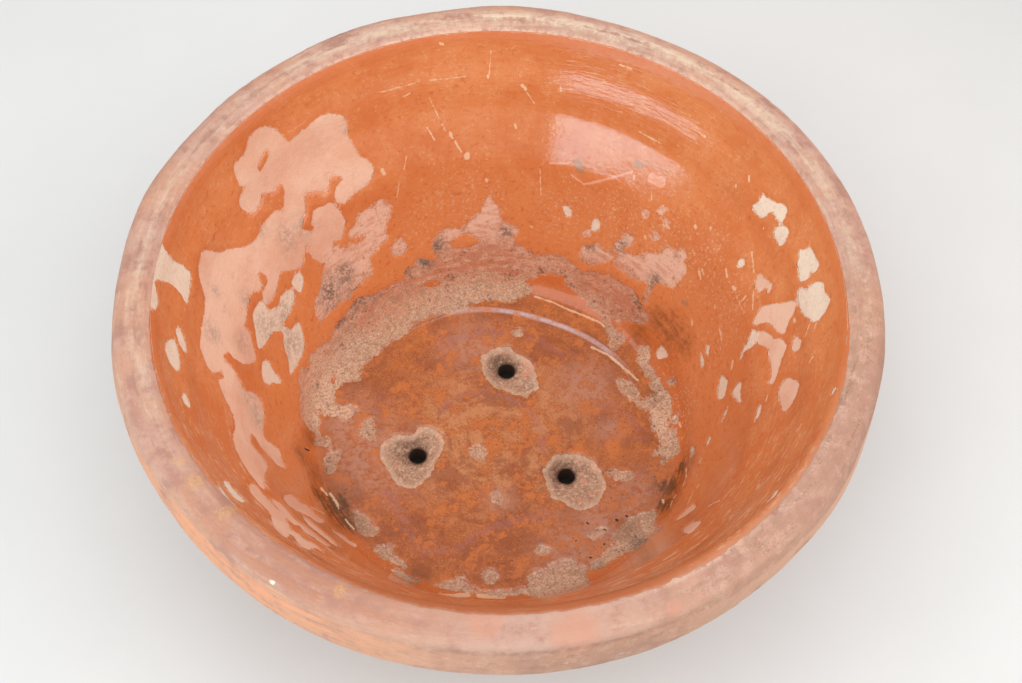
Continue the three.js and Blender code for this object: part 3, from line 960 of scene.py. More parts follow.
# %% Rolled rim
RIM_TURNS, RIM_ROWS = 640, 90
SOFTEN_ROWS, SOFTEN_ROUNDS = slice(8, 44), 10
RIPPLE_RADIUS = 150
FREE_START, FREE_FULL = 4, 9
BULGE, BULGE_MIDDLE, BULGE_SPREAD = 1.4, -85, 45
ROLL_SETBACK, SHOULDER_RADIUS = 1.2, 4.5
SEAM_DROP, SEAM_DEPTH = 5.5, 0.5
LIP_WIDTH, LUTE_GAP = 6, 0.1
roll_radius = RIM_RADIUS - ROLL_SETBACK
seam_z = CREST_Z - SEAM_DROP
band_middle = (seam_z + LIP_Z) / 2
bore = SEAT_RADIUS + LUTE_GAP
rim_line = np.concatenate([
    bevel,
    arc((roll_radius - SHOULDER_RADIUS, CREST_Z - SHOULDER_RADIUS), SHOULDER_RADIUS, 90, 0),
    [(roll_radius - SEAM_DEPTH, seam_z)],
    curve((roll_radius - SEAM_DEPTH, seam_z), (RIM_RADIUS, seam_z), (RIM_RADIUS, band_middle))[1:],
    curve((RIM_RADIUS, band_middle), (RIM_RADIUS, LIP_Z), (RIM_RADIUS - LIP_WIDTH, LIP_Z)),
    curve((RIM_RADIUS - LIP_WIDTH, LIP_Z), (bore, LIP_Z), (bore, seat_z)),
    [(bore, MOUTH_Z - 0.3)],
])
rim_section = spread(rim_line, RIM_ROWS)
for _ in range(SOFTEN_ROUNDS):
    middle = (np.roll(rim_section, 1, 0) + np.roll(rim_section, -1, 0)) / 2
    rim_section[SOFTEN_ROWS] = (rim_section + middle)[SOFTEN_ROWS] / 2
rim_angle = np.linspace(0, 2 * np.pi, RIM_TURNS, endpoint=False)[:, None]
rim_r, rim_z = (np.tile(column, (RIM_TURNS, 1)) for column in rim_section.T)
free = fade(rim_r, MOUTH_RADIUS + FREE_START, MOUTH_RADIUS + FREE_FULL)
rim_heading = np.stack([np.cos(rim_angle) + 0 * rim_z, np.sin(rim_angle) + 0 * rim_z], -1)
around = np.concatenate([rim_heading * RIPPLE_RADIUS, rim_z[..., None]], -1)
swell = ripples(around, 51, (0.5, 70), (0.12, 22), (0.06, 6))
bulge = BULGE * np.exp(-(turn_from(rim_angle, BULGE_MIDDLE) / BULGE_SPREAD) ** 2)
rim_r = rim_r + free * (bulge + np.clip(swell - 0.1, -0.8, 0.5))
rim_z = rim_z + free * fade(rim_z, seam_z, CREST_Z) * np.minimum(swell * 0.8 - 0.3, 0.1)
rim_rings = np.concatenate([rim_heading * rim_r[..., None], rim_z[..., None]], -1)
print("rim section of", RIM_ROWS, "points, turned", RIM_TURNS, "times")

# %% [markdown]
# The rim's wear is laid on by angle and height, because the weather came from one side: a bloom at the front,
# dirt at the right, warm clay at the front left. Painted light is laid on by angle and height too: painted
# highlights along the crest at the back and along the mouth edge, the front-left band painted brighter, and
# the outer side painted pale. Glaze drips, scars and a nick are soft spots at given pixels.

# %% Wear on the rim
CREST_LINE, CREST_SPREAD, MOUTH_SIDE = 151.5, 3.5, 6
DRIPS = [((182, 463), 3.5), ((197, 484), 4.5), ((223, 513), 4), ((341, 593), 4)]
SCARS = [((575, 632), 12), ((676, 608), 4), ((485, 622), 9)]
NICKS = [((275, 583), 1.8)]
seam_depth = np.exp(-((rim_section[:, 1] - seam_z) / 1.3) ** 2) * (rim_section[:, 0] > roll_radius - 4)
seam_wander = fade(ripple(around[:, :1] * [1, 1, 0], 90, 54), -0.5, 0.6)


def rim_spots(marks):
    """Soft round spots on the rim's top: rays through pixels, down to the plane just under the crest."""
    value = np.zeros(rim_z.shape)
    wobble = ripples(around, 55, (1.5, 7))
    for pixel, size in marks:
        ray = pixel_rays([pixel])[0]
        spot = camera_place + ray * (CREST_Z - 1.5 - camera_place[2]) / ray[2]
        away = np.linalg.norm(rim_rings - spot, axis=-1)
        value = np.maximum(value, 1 - fade(away + wobble, 0.5 * size, size))
    return value


def towards(degrees, spread_degrees):
    """1 on the side of the rim that faces an angle, fading over a spread."""
    return np.exp(-(turn_from(rim_angle, degrees) / spread_degrees) ** 2) + 0 * rim_z


on_top = fade(rim_z, seam_z, CREST_Z - 1)
below_seam = 1 - fade(rim_z, seam_z - 1, seam_z + 2)
outer_side = (1 - fade(rim_z, CREST_Z - 2.6, CREST_Z - 0.5)) * (rim_r > roll_radius - 5)
near_front = towards(-78, 24)
# Where the painted light on the outer side is cut back to its lower part: at the right and at the back.
lit_side_cutback = np.maximum(towards(-15, 50), towards(170, 40)) * fade(rim_z, CREST_Z - 11, CREST_Z - 8)
mouth_run = np.hypot(rim_r - MOUTH_RADIUS, rim_z - MOUTH_Z)
glazed_over = np.interp(turn_from(rim_angle, 0), GLAZE_OVER_TURNS, GLAZE_OVER)
crest_line = np.exp(-((rim_r - CREST_LINE) / CREST_SPREAD) ** 2) * on_top
at_glaze = 1 - fade(np.abs(mouth_run - glazed_over), 0.6, 2.2)
mouth_side = rim_r < MOUTH_RADIUS + MOUTH_SIDE
dirty = [towards(-22, 30), 0.9 * towards(-48, 16), 0.5 * towards(75, 30) * mouth_side,
         near_front * below_seam]
rim_layers = {
    "seam": seam_depth * seam_wander * (1 - 0.8 * towards(-128, 34)),
    "bloom": towards(-82, 20) * fade(rim_z, seam_z - 2, seam_z + 3),
    # Painted highlight: a cream line along the crest, strongest at the back.
    "crest": crest_line * np.maximum(towards(75, 62), 0.4 * towards(180, 40)),
    "grime": np.maximum.reduce(dirty),
    "mauve": on_top * towards(-120, 24),
    # Painted light: the outer side of the rim is painted pale peach, as light bounced up from the floor.
    "lit_outer_side": outer_side * (1 - near_front) * (1 - lit_side_cutback) * (1 - towards(-130, 40)),
    # Painted highlight: a pale line along the mouth edge, at the back and at the near right.
    "mouth_edge_highlight": at_glaze * np.maximum(towards(90, 80), 0.8 * towards(-58, 14)),
    # Warm orange clay on the front-left band below the seam, also painted brighter as light from the left.
    "warm_lit_band": below_seam * towards(-130, 30),
    "drip": rim_spots(DRIPS),
    "scar": rim_spots(SCARS),
    "nick": rim_spots(NICKS),
}
rim_run = np.tile(np.linspace(0, RIM_ROWS - 1, RIM_ROWS), (RIM_TURNS, 1))
rim_layers = {key: value[:, ::-1].ravel() for key, value in rim_layers.items()}
rim_ring = np.stack([rim_rings[..., 0] * STREAK, rim_rings[..., 1] * STREAK, rim_run], -1) * MM
rim_layers["ring"] = rim_ring[:, ::-1].reshape(-1, 3)
rolled_rim = ring_piece("clay_rim", rim_rings[:, ::-1], rim_layers)

# %% [markdown]
# Shader maths reads better as Python. A Signal wraps a socket, and an expression on Signals adds the Math
# nodes that would otherwise be dragged in by hand.

# %% Shader signals
class Signal:
    """A shader value. Arithmetic on it adds Math nodes to the same finish."""

    def __init__(self, finish, socket):
        self.finish = finish
        self.socket = socket

    def maths(self, operation, first, second):
        node = self.finish.node("ShaderNodeMath", {"operation": operation}, {0: first, 1: second})
        return Signal(self.finish, node.outputs[0])

    def __add__(self, other):
        return self.maths("ADD", self, other)

    def __sub__(self, other):
        return self.maths("SUBTRACT", self, other)

    def __mul__(self, other):
        return self.maths("MULTIPLY", self, other)

    def __truediv__(self, other):
        return self.maths("DIVIDE", self, other)

    def __rsub__(self, other):
        return self.maths("SUBTRACT", other, self)

    __radd__ = __add__
    __rmul__ = __mul__


# %% [markdown]
# A Finish is one material. Its node method makes any node from its type, its settings and its sockets, and
# the other methods are the few kinds that this bowl needs: values from the mesh, noise, smooth steps, coats
# of paint, bumps and single marks.

# %% Finishes
class Finish:
    """One material, built from nodes."""

    def __init__(self, name):
        self.material = bpy.data.materials.new(name)
        self.material.use_nodes = True
        self.tree = self.material.node_tree
        self.tree.nodes.clear()
        self.place = self.node("ShaderNodeTexCoord").outputs["Object"]

    def node(self, kind, settings=None, sockets=None):
        """A node of a kind: settings first, then values or links by socket name or number."""
        node = self.tree.nodes.new(kind)
        for key, value in (settings or {}).items():
            setattr(node, key, value)
        for key, value in (sockets or {}).items():
            value = value.socket if isinstance(value, Signal) else value
            if isinstance(value, bpy.types.NodeSocket):
                self.tree.links.new(value, node.inputs[key])
            else:
                node.inputs[key].default_value = value
        return node

    def layer(self, name):
        """A per-point value of the mesh."""
        return Signal(self, self.node("ShaderNodeAttribute", {"attribute_name": name}).outputs["Fac"])

    def vector(self, name):
        """A per-point vector of the mesh."""
        return self.node("ShaderNodeAttribute", {"attribute_name": name}).outputs["Vector"]

    def noise(self, size, detail=4, place=None):
        """Noise of a size in millimetres at a place: the object's own, or a per-point vector."""
        place = self.place if place is None else place
        scaled = self.node("ShaderNodeMapping", {}, {"Vector": place, "Scale": [1 / (size * MM)] * 3})
        node = self.node("ShaderNodeTexNoise", {},
                         {"Vector": scaled.outputs[0], "Scale": 1, "Detail": detail, "Roughness": 0.6})
        return Signal(self, node.outputs[0])

    def band(self, value, start, end):
        """Smooth step of a value from 0 at start to 1 at end."""
        node = self.node("ShaderNodeMapRange", {"interpolation_type": "SMOOTHSTEP"},
                         {"Value": value, "From Min": start, "From Max": end})
        return Signal(self, node.outputs["Result"])

    def blend(self, below, above, factor):
        """Colour that goes from below to above as the factor goes from 0 to 1."""
        node = self.node("ShaderNodeMix", {"data_type": "RGBA"}, {0: factor, 6: below, 7: above})
        return node.outputs[2]

    def coats(self, colour, *coats):
        """Colour with coats of paint over it, each told as a screen colour and a mask of 0 to 1."""
        for tint, mask in coats:
            colour = self.blend(colour, paint(*tint), mask)
        return colour

    def bump(self, height, distance, normal=None):
        """Normal of a height of 0 to 1 that stands for a distance in millimetres."""
        sockets = {"Height": height, "Distance": distance * MM, "Strength": 1.0}
        if normal is not None:
            sockets["Normal"] = normal
        return self.node("ShaderNodeBump", {}, sockets).outputs[0]

    def arrows(self, operation, sockets):
        """Outputs of a Vector Math node."""
        return self.node("ShaderNodeVectorMath", {"operation": operation}, sockets).outputs

    def marks(self, segments, rough):
        """Marks on the plan: 1 where the distance to a segment, made rough, is less than its half width."""
        plan = self.vector("plan")
        total = None
        for start, end, half in segments:
            run = end - start
            offset = self.arrows("SUBTRACT", {0: plan, 1: start})[0]
            share = self.arrows("DOT_PRODUCT", {0: offset, 1: run / max(run @ run, 1e-6)})["Value"]
            share = self.node("ShaderNodeClamp", {}, {"Value": share}).outputs[0]
            along = self.arrows("SCALE", {0: run, "Scale": share})[0]
            gap = self.arrows("DISTANCE", {0: offset, 1: along})["Value"]
            mask = self.band(rough + Signal(self, gap), half + 0.3, half - 0.15)
            total = mask if total is None else mask.maths("MAXIMUM", mask, total)
        return total

    def surface(self, **sockets):
        """Ends the finish with a Principled shader."""
        names = {key.replace("_", " ").title(): value for key, value in sockets.items()}
        shader = self.node("ShaderNodeBsdfPrincipled", {}, names)
        self.node("ShaderNodeOutputMaterial", {}, {"Surface": shader.outputs[0]})
        print(f"{self.material.name}: {len(self.tree.nodes)} nodes")
        return self.material


def paint(red, green, blue):
    """Screen colour from 0 to 255 as the linear colour that shaders take."""
    c = np.array([red, green, blue]) / 255
    linear = np.where(c > 0.04045, ((c + 0.055) / 1.055) ** 2.4, c / 12.92)
    return (*linear, 1.0)


# %% [markdown]
# Weathered clay is shared by the rim and the outside: a pink body with cream bloom, grey dirt and dark
# grit, each a noise of its own size that is turned into a mask. The rim adds masks that were laid on its
# points by angle.

# %% Weathered clay
def weathered(f):
    """Colour of old fired clay out in the open, with the noises that it was mixed from."""
    ring = f.vector("ring")
    broad, coarse, fine, grit = f.noise(34), f.noise(10), f.noise(3), f.noise(0.9, 3)
    streak, thread = f.noise(3.4, 4, ring), f.noise(1.2, 3, ring)
    colour = f.coats(
        f.blend(paint(188, 136, 118), paint(204, 156, 136), f.band(coarse, 0.4, 0.6)),
        ((206, 150, 122), f.band(broad, 0.5, 0.6) * 0.7),
        ((222, 182, 158), f.band(streak * 0.7 + fine * 0.3, 0.53, 0.66) * 0.7),
        ((172, 124, 108), f.band(streak * 0.4 + coarse * 0.6, 0.48, 0.36) * 0.55),
        ((164, 130, 112), f.band(thread * 0.6 + coarse * 0.4, 0.54, 0.64) * 0.5),
        ((146, 114, 96), f.band(grit, 0.58, 0.7) * 0.4))
    return colour, broad, coarse, fine, grit, streak


def rim_clay_finish():
    """Weathered clay: pale bloom, painted highlights on the crest and the mouth edge, painted light on the
    outer side and the front-left band, dirt, warm patches, drips and a dirty seam.
    """
    f = Finish("rim_clay")
    colour, _, coarse, fine, grit, streak = weathered(f)
    mottle = coarse * 0.5 + fine * 0.5
    crumb = f.noise(4.5, 3) * 0.6 + grit * 0.4
    colour = f.coats(
        colour,
        ((202, 162, 144), f.layer("bloom") * f.band(mottle * 0.7 + grit * 0.3, 0.34, 0.56) * 0.8),
        # Painted highlight along the crest.
        ((236, 208, 180), f.layer("crest") * f.band(streak * 0.6 + fine * 0.4, 0.38, 0.57)),
        ((184, 140, 115), f.layer("grime") * f.band(crumb, 0.44, 0.52) * 0.75),
        ((156, 108, 88), f.layer("grime") * f.band(crumb * 0.4 + streak * 0.6, 0.52, 0.62) * 0.65),
        ((184, 122, 94), f.layer("mauve") * f.band(mottle * 0.4 + streak * 0.6, 0.4, 0.56) * 0.75),
        # Painted light on the outer side.
        ((236, 182, 150), f.layer("lit_outer_side") * f.band(streak * 0.4 + coarse * 0.6, 0.3, 0.47) * 0.75),
        # Warm clay on the front-left band, partly painted light.
        ((238, 158, 114), f.layer("warm_lit_band") * f.band(mottle * 0.5 + streak * 0.5, 0.34, 0.56) * 0.9),
        # Painted highlight along the mouth edge.
        ((232, 192, 166), f.layer("mouth_edge_highlight") * f.band(fine, 0.35, 0.55) * 0.7),
        ((212, 146, 118), f.layer("scar") * f.band(mottle, 0.3, 0.55) * 0.6),
        ((216, 162, 106), f.layer("drip") * f.band(fine * 0.6 + grit * 0.4, 0.44, 0.58) * 0.75),
        ((250, 236, 214), f.band(f.layer("nick"), 0.3, 0.7) * 0.9),
        ((158, 112, 92), f.layer("seam") * f.band(fine, 0.35, 0.6) * 0.7))
    normal = f.bump(fine + grit * 0.4 + streak * 0.5, 0.3)
    return f.surface(base_color=colour, roughness=0.8, normal=normal)


rim_clay = rim_clay_finish()

# %% [markdown]
# Inside, the bare clay was under the glaze: fresh salmon, cream where it is chipped, and where soil rubbed
# it a granular beige with reddish streaks and grey smudges. The spalls are coarse, with painted shade that
# darkens them towards the holes and to one side, and the drain holes are painted dark as shade.

# %% Bare clay
def rubbed_clay(f, fine, grit):
    """Colour of clay that soil rubbed bare: beige grains, red streaks round the bowl, grey smudges."""
    reach = f.layer("reach")
    streak, speck, patch = f.noise(2.2, 3, f.vector("ring")), f.noise(1.3, 2), f.noise(7, 3)
    grain = grit * 0.6 + speck * 0.4
    dust = speck * 0.6 + fine * 0.4
    low = 1 - f.band(reach + (patch - 0.5) * 0.2, 0.84, 0.97)
    pale = f.band(reach, 1.02, 1.16) * f.band(patch * 0.6 + grit * 0.4, 0.36, 0.5) * (1 - f.layer("near"))
    wall = f.blend(paint(202, 146, 116), paint(228, 178, 148), f.band(grit * 0.4 + patch * 0.6, 0.4, 0.58))
    wall = f.coats(wall, ((240, 194, 168), pale * 0.85))
    sand = f.band(grit * 0.35 + fine * 0.4 + patch * 0.25, 0.42, 0.58)
    toe = f.blend(paint(174, 134, 106), paint(214, 174, 144), sand)
    return f.coats(
        f.blend(wall, toe, low),
        ((234, 206, 178), low * f.band(grain, 0.53, 0.61) * 0.4),
        ((150, 110, 86), f.band(grain, 0.46, 0.38) * (1 - pale) * 0.33),
        ((228, 188, 158), f.layer("sandy") * f.band(grain, 0.4, 0.53) * 0.8),
        ((170, 128, 106), f.band(patch * 0.6 + fine * 0.4, 0.5, 0.6) * (1 - pale) * 0.5),
        ((202, 122, 80), f.band(streak * 0.6 + patch * 0.4, 0.5, 0.6) * (1 - low * 0.7) * 0.45),
        ((198, 116, 78), f.layer("rust") * f.band(streak * 0.5 + fine * 0.5, 0.36, 0.58) * 0.6),
        ((140, 112, 92), f.band(dust, 0.55, 0.64) * (1 - pale) * 0.5),
        ((104, 92, 80), f.layer("smudge") * f.band(dust, 0.36, 0.56) * 0.85),
        ((106, 90, 76), f.band(speck * 0.5 + patch * 0.5, 0.57, 0.64) * (1 - pale * 0.8) * 0.65))


def bare_clay_finish():
    """Salmon clay, cream chips, rubbed clay, broken clay in the spalls with painted shade, painted shade in
    the drain holes, and weathered clay on the outside.
    """
    f = Finish("bare_clay")
    outdoors, broad, coarse, fine, grit, _ = weathered(f)
    cream = f.layer("cream")
    speck = f.noise(1.3, 2)
    crumb = fine * 0.5 + grit * 0.5
    colour = f.blend(paint(230, 176, 146), paint(238, 192, 164), f.band(broad, 0.4, 0.6))
    colour = f.coats(colour, ((220, 170, 144), f.band(coarse, 0.56, 0.7) * f.band(speck, 0.3, 0.6) * 0.7))
    chip_spots = f.band(speck * 0.5 + fine * 0.5, 0.48, 0.62) * 0.4
    colour = f.blend(colour, f.blend(paint(240, 214, 190), paint(214, 182, 156), chip_spots), cream)
    smudge = f.layer("smudge") * f.band(speck * 0.4 + fine * 0.6, 0.38, 0.58)
    colour = f.coats(colour, ((172, 148, 130), smudge * 0.65))
    colour = f.blend(colour, rubbed_clay(f, fine, grit), f.layer("worn") * (1 - cream))
    broken = f.coats(
        f.blend(paint(190, 154, 126), paint(152, 114, 90), f.band(grit * 0.6 + fine * 0.4, 0.42, 0.58)),
        ((216, 146, 118), f.band(coarse * 0.7 + fine * 0.3, 0.53, 0.6) * 0.75),
        ((232, 202, 176), f.band(speck * 0.6 + grit * 0.4, 0.53, 0.6) * 0.6),
        # Painted shade: the spall darkens towards the hole, offset to one side.
        ((88, 66, 50), f.layer("deep") * f.band(crumb, 0.3, 0.58) * 0.8),
        ((220, 188, 160), f.layer("brink") * f.band(crumb, 0.4, 0.56) * 0.7))
    colour = f.blend(colour, broken, f.layer("spall"))
    colour = f.coats(colour, ((112, 80, 54), f.layer("stain") * f.band(fine, 0.25, 0.6) * 0.7))
    colour = f.blend(outdoors, colour, f.layer("inside"))
    # Painted shade: the drain holes are painted dark brown.
    colour = f.coats(colour, ((62, 43, 31), f.layer("bore")))
    normal = f.bump(fine + grit * 0.6, 0.4)
    return f.surface(base_color=colour, roughness=0.88, normal=normal)


bare_clay = bare_clay_finish()

# %% [markdown]
# Single scratches and flecks in the glaze are thinner than the mesh is fine, so the finish draws them: it
# measures how far a point of the plan lies from each segment. They are told as two pixels and half a width
# in millimetres. A few pale marks are painted highlights: a glint at the back edge, and the chipped toe line
# of the floor, which is painted both as chips and as their highlight.

# %% Marks in the glaze
PALE_MARKS = [
    ((491, 50), (489, 75), 0.15), ((488, 75), (488, 76), 0.6), ((380, 91), (420, 80), 0.1),
    ((430, 79), (465, 75), 0.1), ((402, 96), (410, 92), 0.2), ((522, 84), (526, 88), 0.7),
    ((527, 91), (534, 101), 0.2), ((561, 86), (561, 90), 0.5), ((429, 96), (445, 130), 0.1),
    ((450, 133), (452, 137), 0.9), ((455, 141), (461, 152), 0.5), ((467, 157), (467, 157), 1.9),
    ((427, 127), (434, 139), 0.4), ((515, 124), (516, 127), 0.5), ((486, 180), (487, 181), 0.9),
    ((382, 171), (384, 174), 1.1), ((406, 157), (404, 170), 0.1), ((399, 185), (397, 197), 0.15),
    ((540, 170), (541, 195), 0.15), ((651, 185), (652, 200), 0.15), ((634, 177), (634, 179), 0.6),
    # The dash from (620, 64) to (632, 68) is a painted glint at the back edge of the glaze.
    ((440, 43), (443, 44), 0.4), ((796, 319), (797, 321), 0.7), ((620, 64), (632, 68), 0.3),
    ((275, 225), (277, 227), 0.5), ((700, 132), (706, 136), 0.3), ((640, 130), (662, 142), 0.2),
    ((737, 184), (737, 186), 0.5), ((750, 176), (750, 180), 0.6), ((695, 226), (696, 228), 0.6),
    ((711, 228), (711, 230), 0.5), ((746, 297), (742, 302), 0.5), ((733, 362), (732, 369), 0.9),
    ((720, 330), (722, 340), 0.4), ((728, 408), (725, 418), 0.5), ((768, 396), (766, 402), 0.4),
    # The marks from (535, 297) to (609, 331) are the chipped toe line, painted pale as chips and as painted
    # highlight.
    ((699, 272), (701, 280), 0.5), ((765, 227), (765, 228), 0.4), ((535, 297), (553, 303), 0.35),
    ((553, 303), (570, 311), 0.4), ((570, 311), (586, 317), 0.45), ((586, 317), (600, 323), 0.5),
    ((600, 323), (609, 331), 0.5), ((592, 347), (607, 354), 0.6), ((607, 354), (622, 366), 0.5),
    ((622, 366), (637, 380), 0.4), ((708, 350), (708, 355), 0.5), ((702, 358), (702, 364), 0.4),
    ((677, 418), (676, 424), 0.7), ((692, 320), (693, 325), 0.4), ((715, 306), (715, 310), 0.3),
    ((645, 237), (646, 239), 0.6), ((531, 226), (532, 227), 0.5), ((753, 252), (755, 272), 0.3),
    ((754, 290), (753, 310), 0.3), ((811, 324), (807, 336), 0.3), ((818, 322), (815, 332), 0.2),
    ((814, 357), (811, 362), 0.5), ((702, 270), (704, 275), 0.4), ((726, 270), (727, 278), 0.4),
    ((733, 288), (735, 290), 0.7), ((681, 424), (682, 428), 0.4), ((702, 460), (700, 463), 0.6),
    ((687, 469), (687, 478), 0.5), ((687, 478), (684, 486), 0.4), ((699, 486), (697, 489), 0.7),
    ((694, 492), (688, 505), 0.5), ((719, 502), (709, 507), 0.8), ((733, 519), (727, 526), 0.6),
    ((761, 485), (759, 489), 1.0), ((803, 424), (799, 431), 0.4), ((676, 553), (663, 559), 0.8),
    ((677, 496), (675, 498), 0.6), ((664, 502), (665, 505), 0.5), ((673, 502), (672, 505), 0.5),
    ((600, 594), (634, 585), 0.5), ((612, 586), (642, 572), 0.3), ((640, 566), (670, 548), 0.4),
    ((320, 491), (325, 497), 0.6), ((329, 495), (335, 502), 0.6), ((335, 502), (338, 510), 0.5),
    ((345, 521), (353, 530), 0.4), ((311, 508), (323, 514), 0.6), ((402, 582), (424, 590), 1.4),
    ((406, 588), (430, 595), 1.6), ((440, 595), (466, 599), 1.8), ((480, 599), (502, 600), 1.6),
    ((392, 574), (402, 578), 1.0),
]
PINK_MARKS = [
    ((550, 164), (570, 164), 0.5), ((570, 175), (584, 185), 0.45), ((584, 185), (632, 172), 0.6),
    ((652, 178), (662, 182), 2.6),
]
GREY_MARKS = [
    ((577, 163), (581, 170), 2.2), ((637, 163), (641, 165), 1.8), ((645, 160), (669, 172), 0.2),
    ((683, 302), (688, 305), 0.9), ((566, 596), (600, 586), 1.6), ((600, 586), (622, 576), 1.0),
    ((640, 545), (662, 530), 1.6),
]
DARK_MARKS = [
    ((616, 520), (617, 521), 0.4), ((626, 516), (627, 517), 0.4), ((631, 527), (632, 528), 0.4),
    ((626, 534), (627, 534), 0.4), ((583, 573), (584, 574), 0.5), ((304, 449), (308, 451), 0.5),
    ((587, 523), (588, 524), 0.35), ((604, 530), (605, 530), 0.35), ((590, 558), (591, 558), 0.3),
    ((576, 540), (576, 541), 0.3), ((604, 544), (604, 545), 0.3), ((550, 551), (550, 551), 0.3),
]
GLAZE_MARKS = [
    ((240, 202, 164), 0.7, PALE_MARKS),
    ((240, 172, 142), 0.7, PINK_MARKS),
    ((170, 130, 98), 0.7, GREY_MARKS),
    ((56, 34, 22), 1.0, DARK_MARKS),
]


def on_plan(marks):
    """Marks with their pixels turned into plan points."""
    ends = np.array([plan_from_pixels([start, end]) for start, end, half in marks])
    ends = np.concatenate([ends, np.zeros((len(marks), 2, 1))], -1)
    return [(start, end, mark[2]) for (start, end), mark in zip(ends, marks)]


print(sum(len(marks) for tint, strength, marks in GLAZE_MARKS), "single marks in the glaze")

# %% [markdown]
# The glaze is a thin orange glass over red clay. Lime and wear make it hazy high on the wall, and peppered
# with chips near the bare places. On the floor it is dull, brown and ochre in fine grains, with purplish
# tide marks. Its edges are frayed along the chips, and scuffed through along rubbed clay. Painted light is
# laid on too: the lower wall painted lighter, the glaze over the near bevel painted darker as shade, and a
# painted highlight on the crown of the floor's step.

# %% Glaze
def wall_colour(f, reach, broad, coarse, fine, grit, speck, thread):
    """Colour of the glaze on the wall: deep orange low down with painted light on the lower wall, hazy high
    up, with grains and peppered chips.
    """
    high = f.band(reach, 0.95, 1.6)
    return f.coats(
        f.blend(paint(212, 120, 68), paint(220, 132, 78), f.band(broad, 0.4, 0.6)),
        # Painted light: the lower wall, below a reach of about 115 to 160 mm, is painted lighter orange.
        ((228, 142, 86), (1 - f.band(reach, 1.15, 1.6)) * 0.8),
        ((198, 106, 54), (1 - f.band(reach, 0.86, 1.04)) * 0.8),
        ((224, 148, 104), high * f.band(coarse * 0.4 + grit * 0.3 + thread * 0.3, 0.42, 0.62) * 0.4),
        ((202, 104, 54), f.band(grit * 0.6 + fine * 0.4, 0.5, 0.62) * 0.4),
        ((196, 94, 44), f.band(fine * 0.5 + thread * 0.5, 0.53, 0.66) * 0.45),
        ((224, 164, 110), f.band(speck * 0.7 + coarse * 0.3, 0.58, 0.63) * 0.5),
        ((226, 174, 138), f.layer("pepper") * f.band(speck * 0.5 + grit * 0.5, 0.54, 0.6) * 0.8))


def floor_colour(f, reach, coarse, fine, grit, speck):
    """Colour of the glaze on the floor: brown and ochre blotches, grains, pink haze, purplish tide marks."""
    blotch, whirl = f.noise(15, 3), f.noise(6, 4, f.vector("ring"))
    middle = 1 - f.band(reach, 0.25, 0.6)
    return f.coats(
        f.blend(paint(164, 90, 46), paint(190, 114, 60), f.band(fine * 0.5 + grit * 0.5, 0.4, 0.6)),
        ((204, 144, 96), middle * f.band(coarse * 0.8 + grit * 0.2, 0.42, 0.58) * 0.7),
        ((142, 76, 44), f.band(blotch * 0.4 + whirl * 0.3 + fine * 0.3, 0.48, 0.57) * 0.65),
        ((212, 124, 62), f.band(coarse * 0.6 + fine * 0.4, 0.48, 0.4) * 0.6),
        ((188, 136, 112), f.layer("haze") * f.band(coarse * 0.4 + fine * 0.6, 0.38, 0.58) * 0.8),
        ((168, 110, 104), f.layer("tide") * f.band(fine, 0.36, 0.58) * 0.5),
        ((212, 160, 120), f.band(grit, 0.6, 0.7) * 0.25),
        ((120, 64, 40), f.band(speck, 0.62, 0.7) * 0.6))


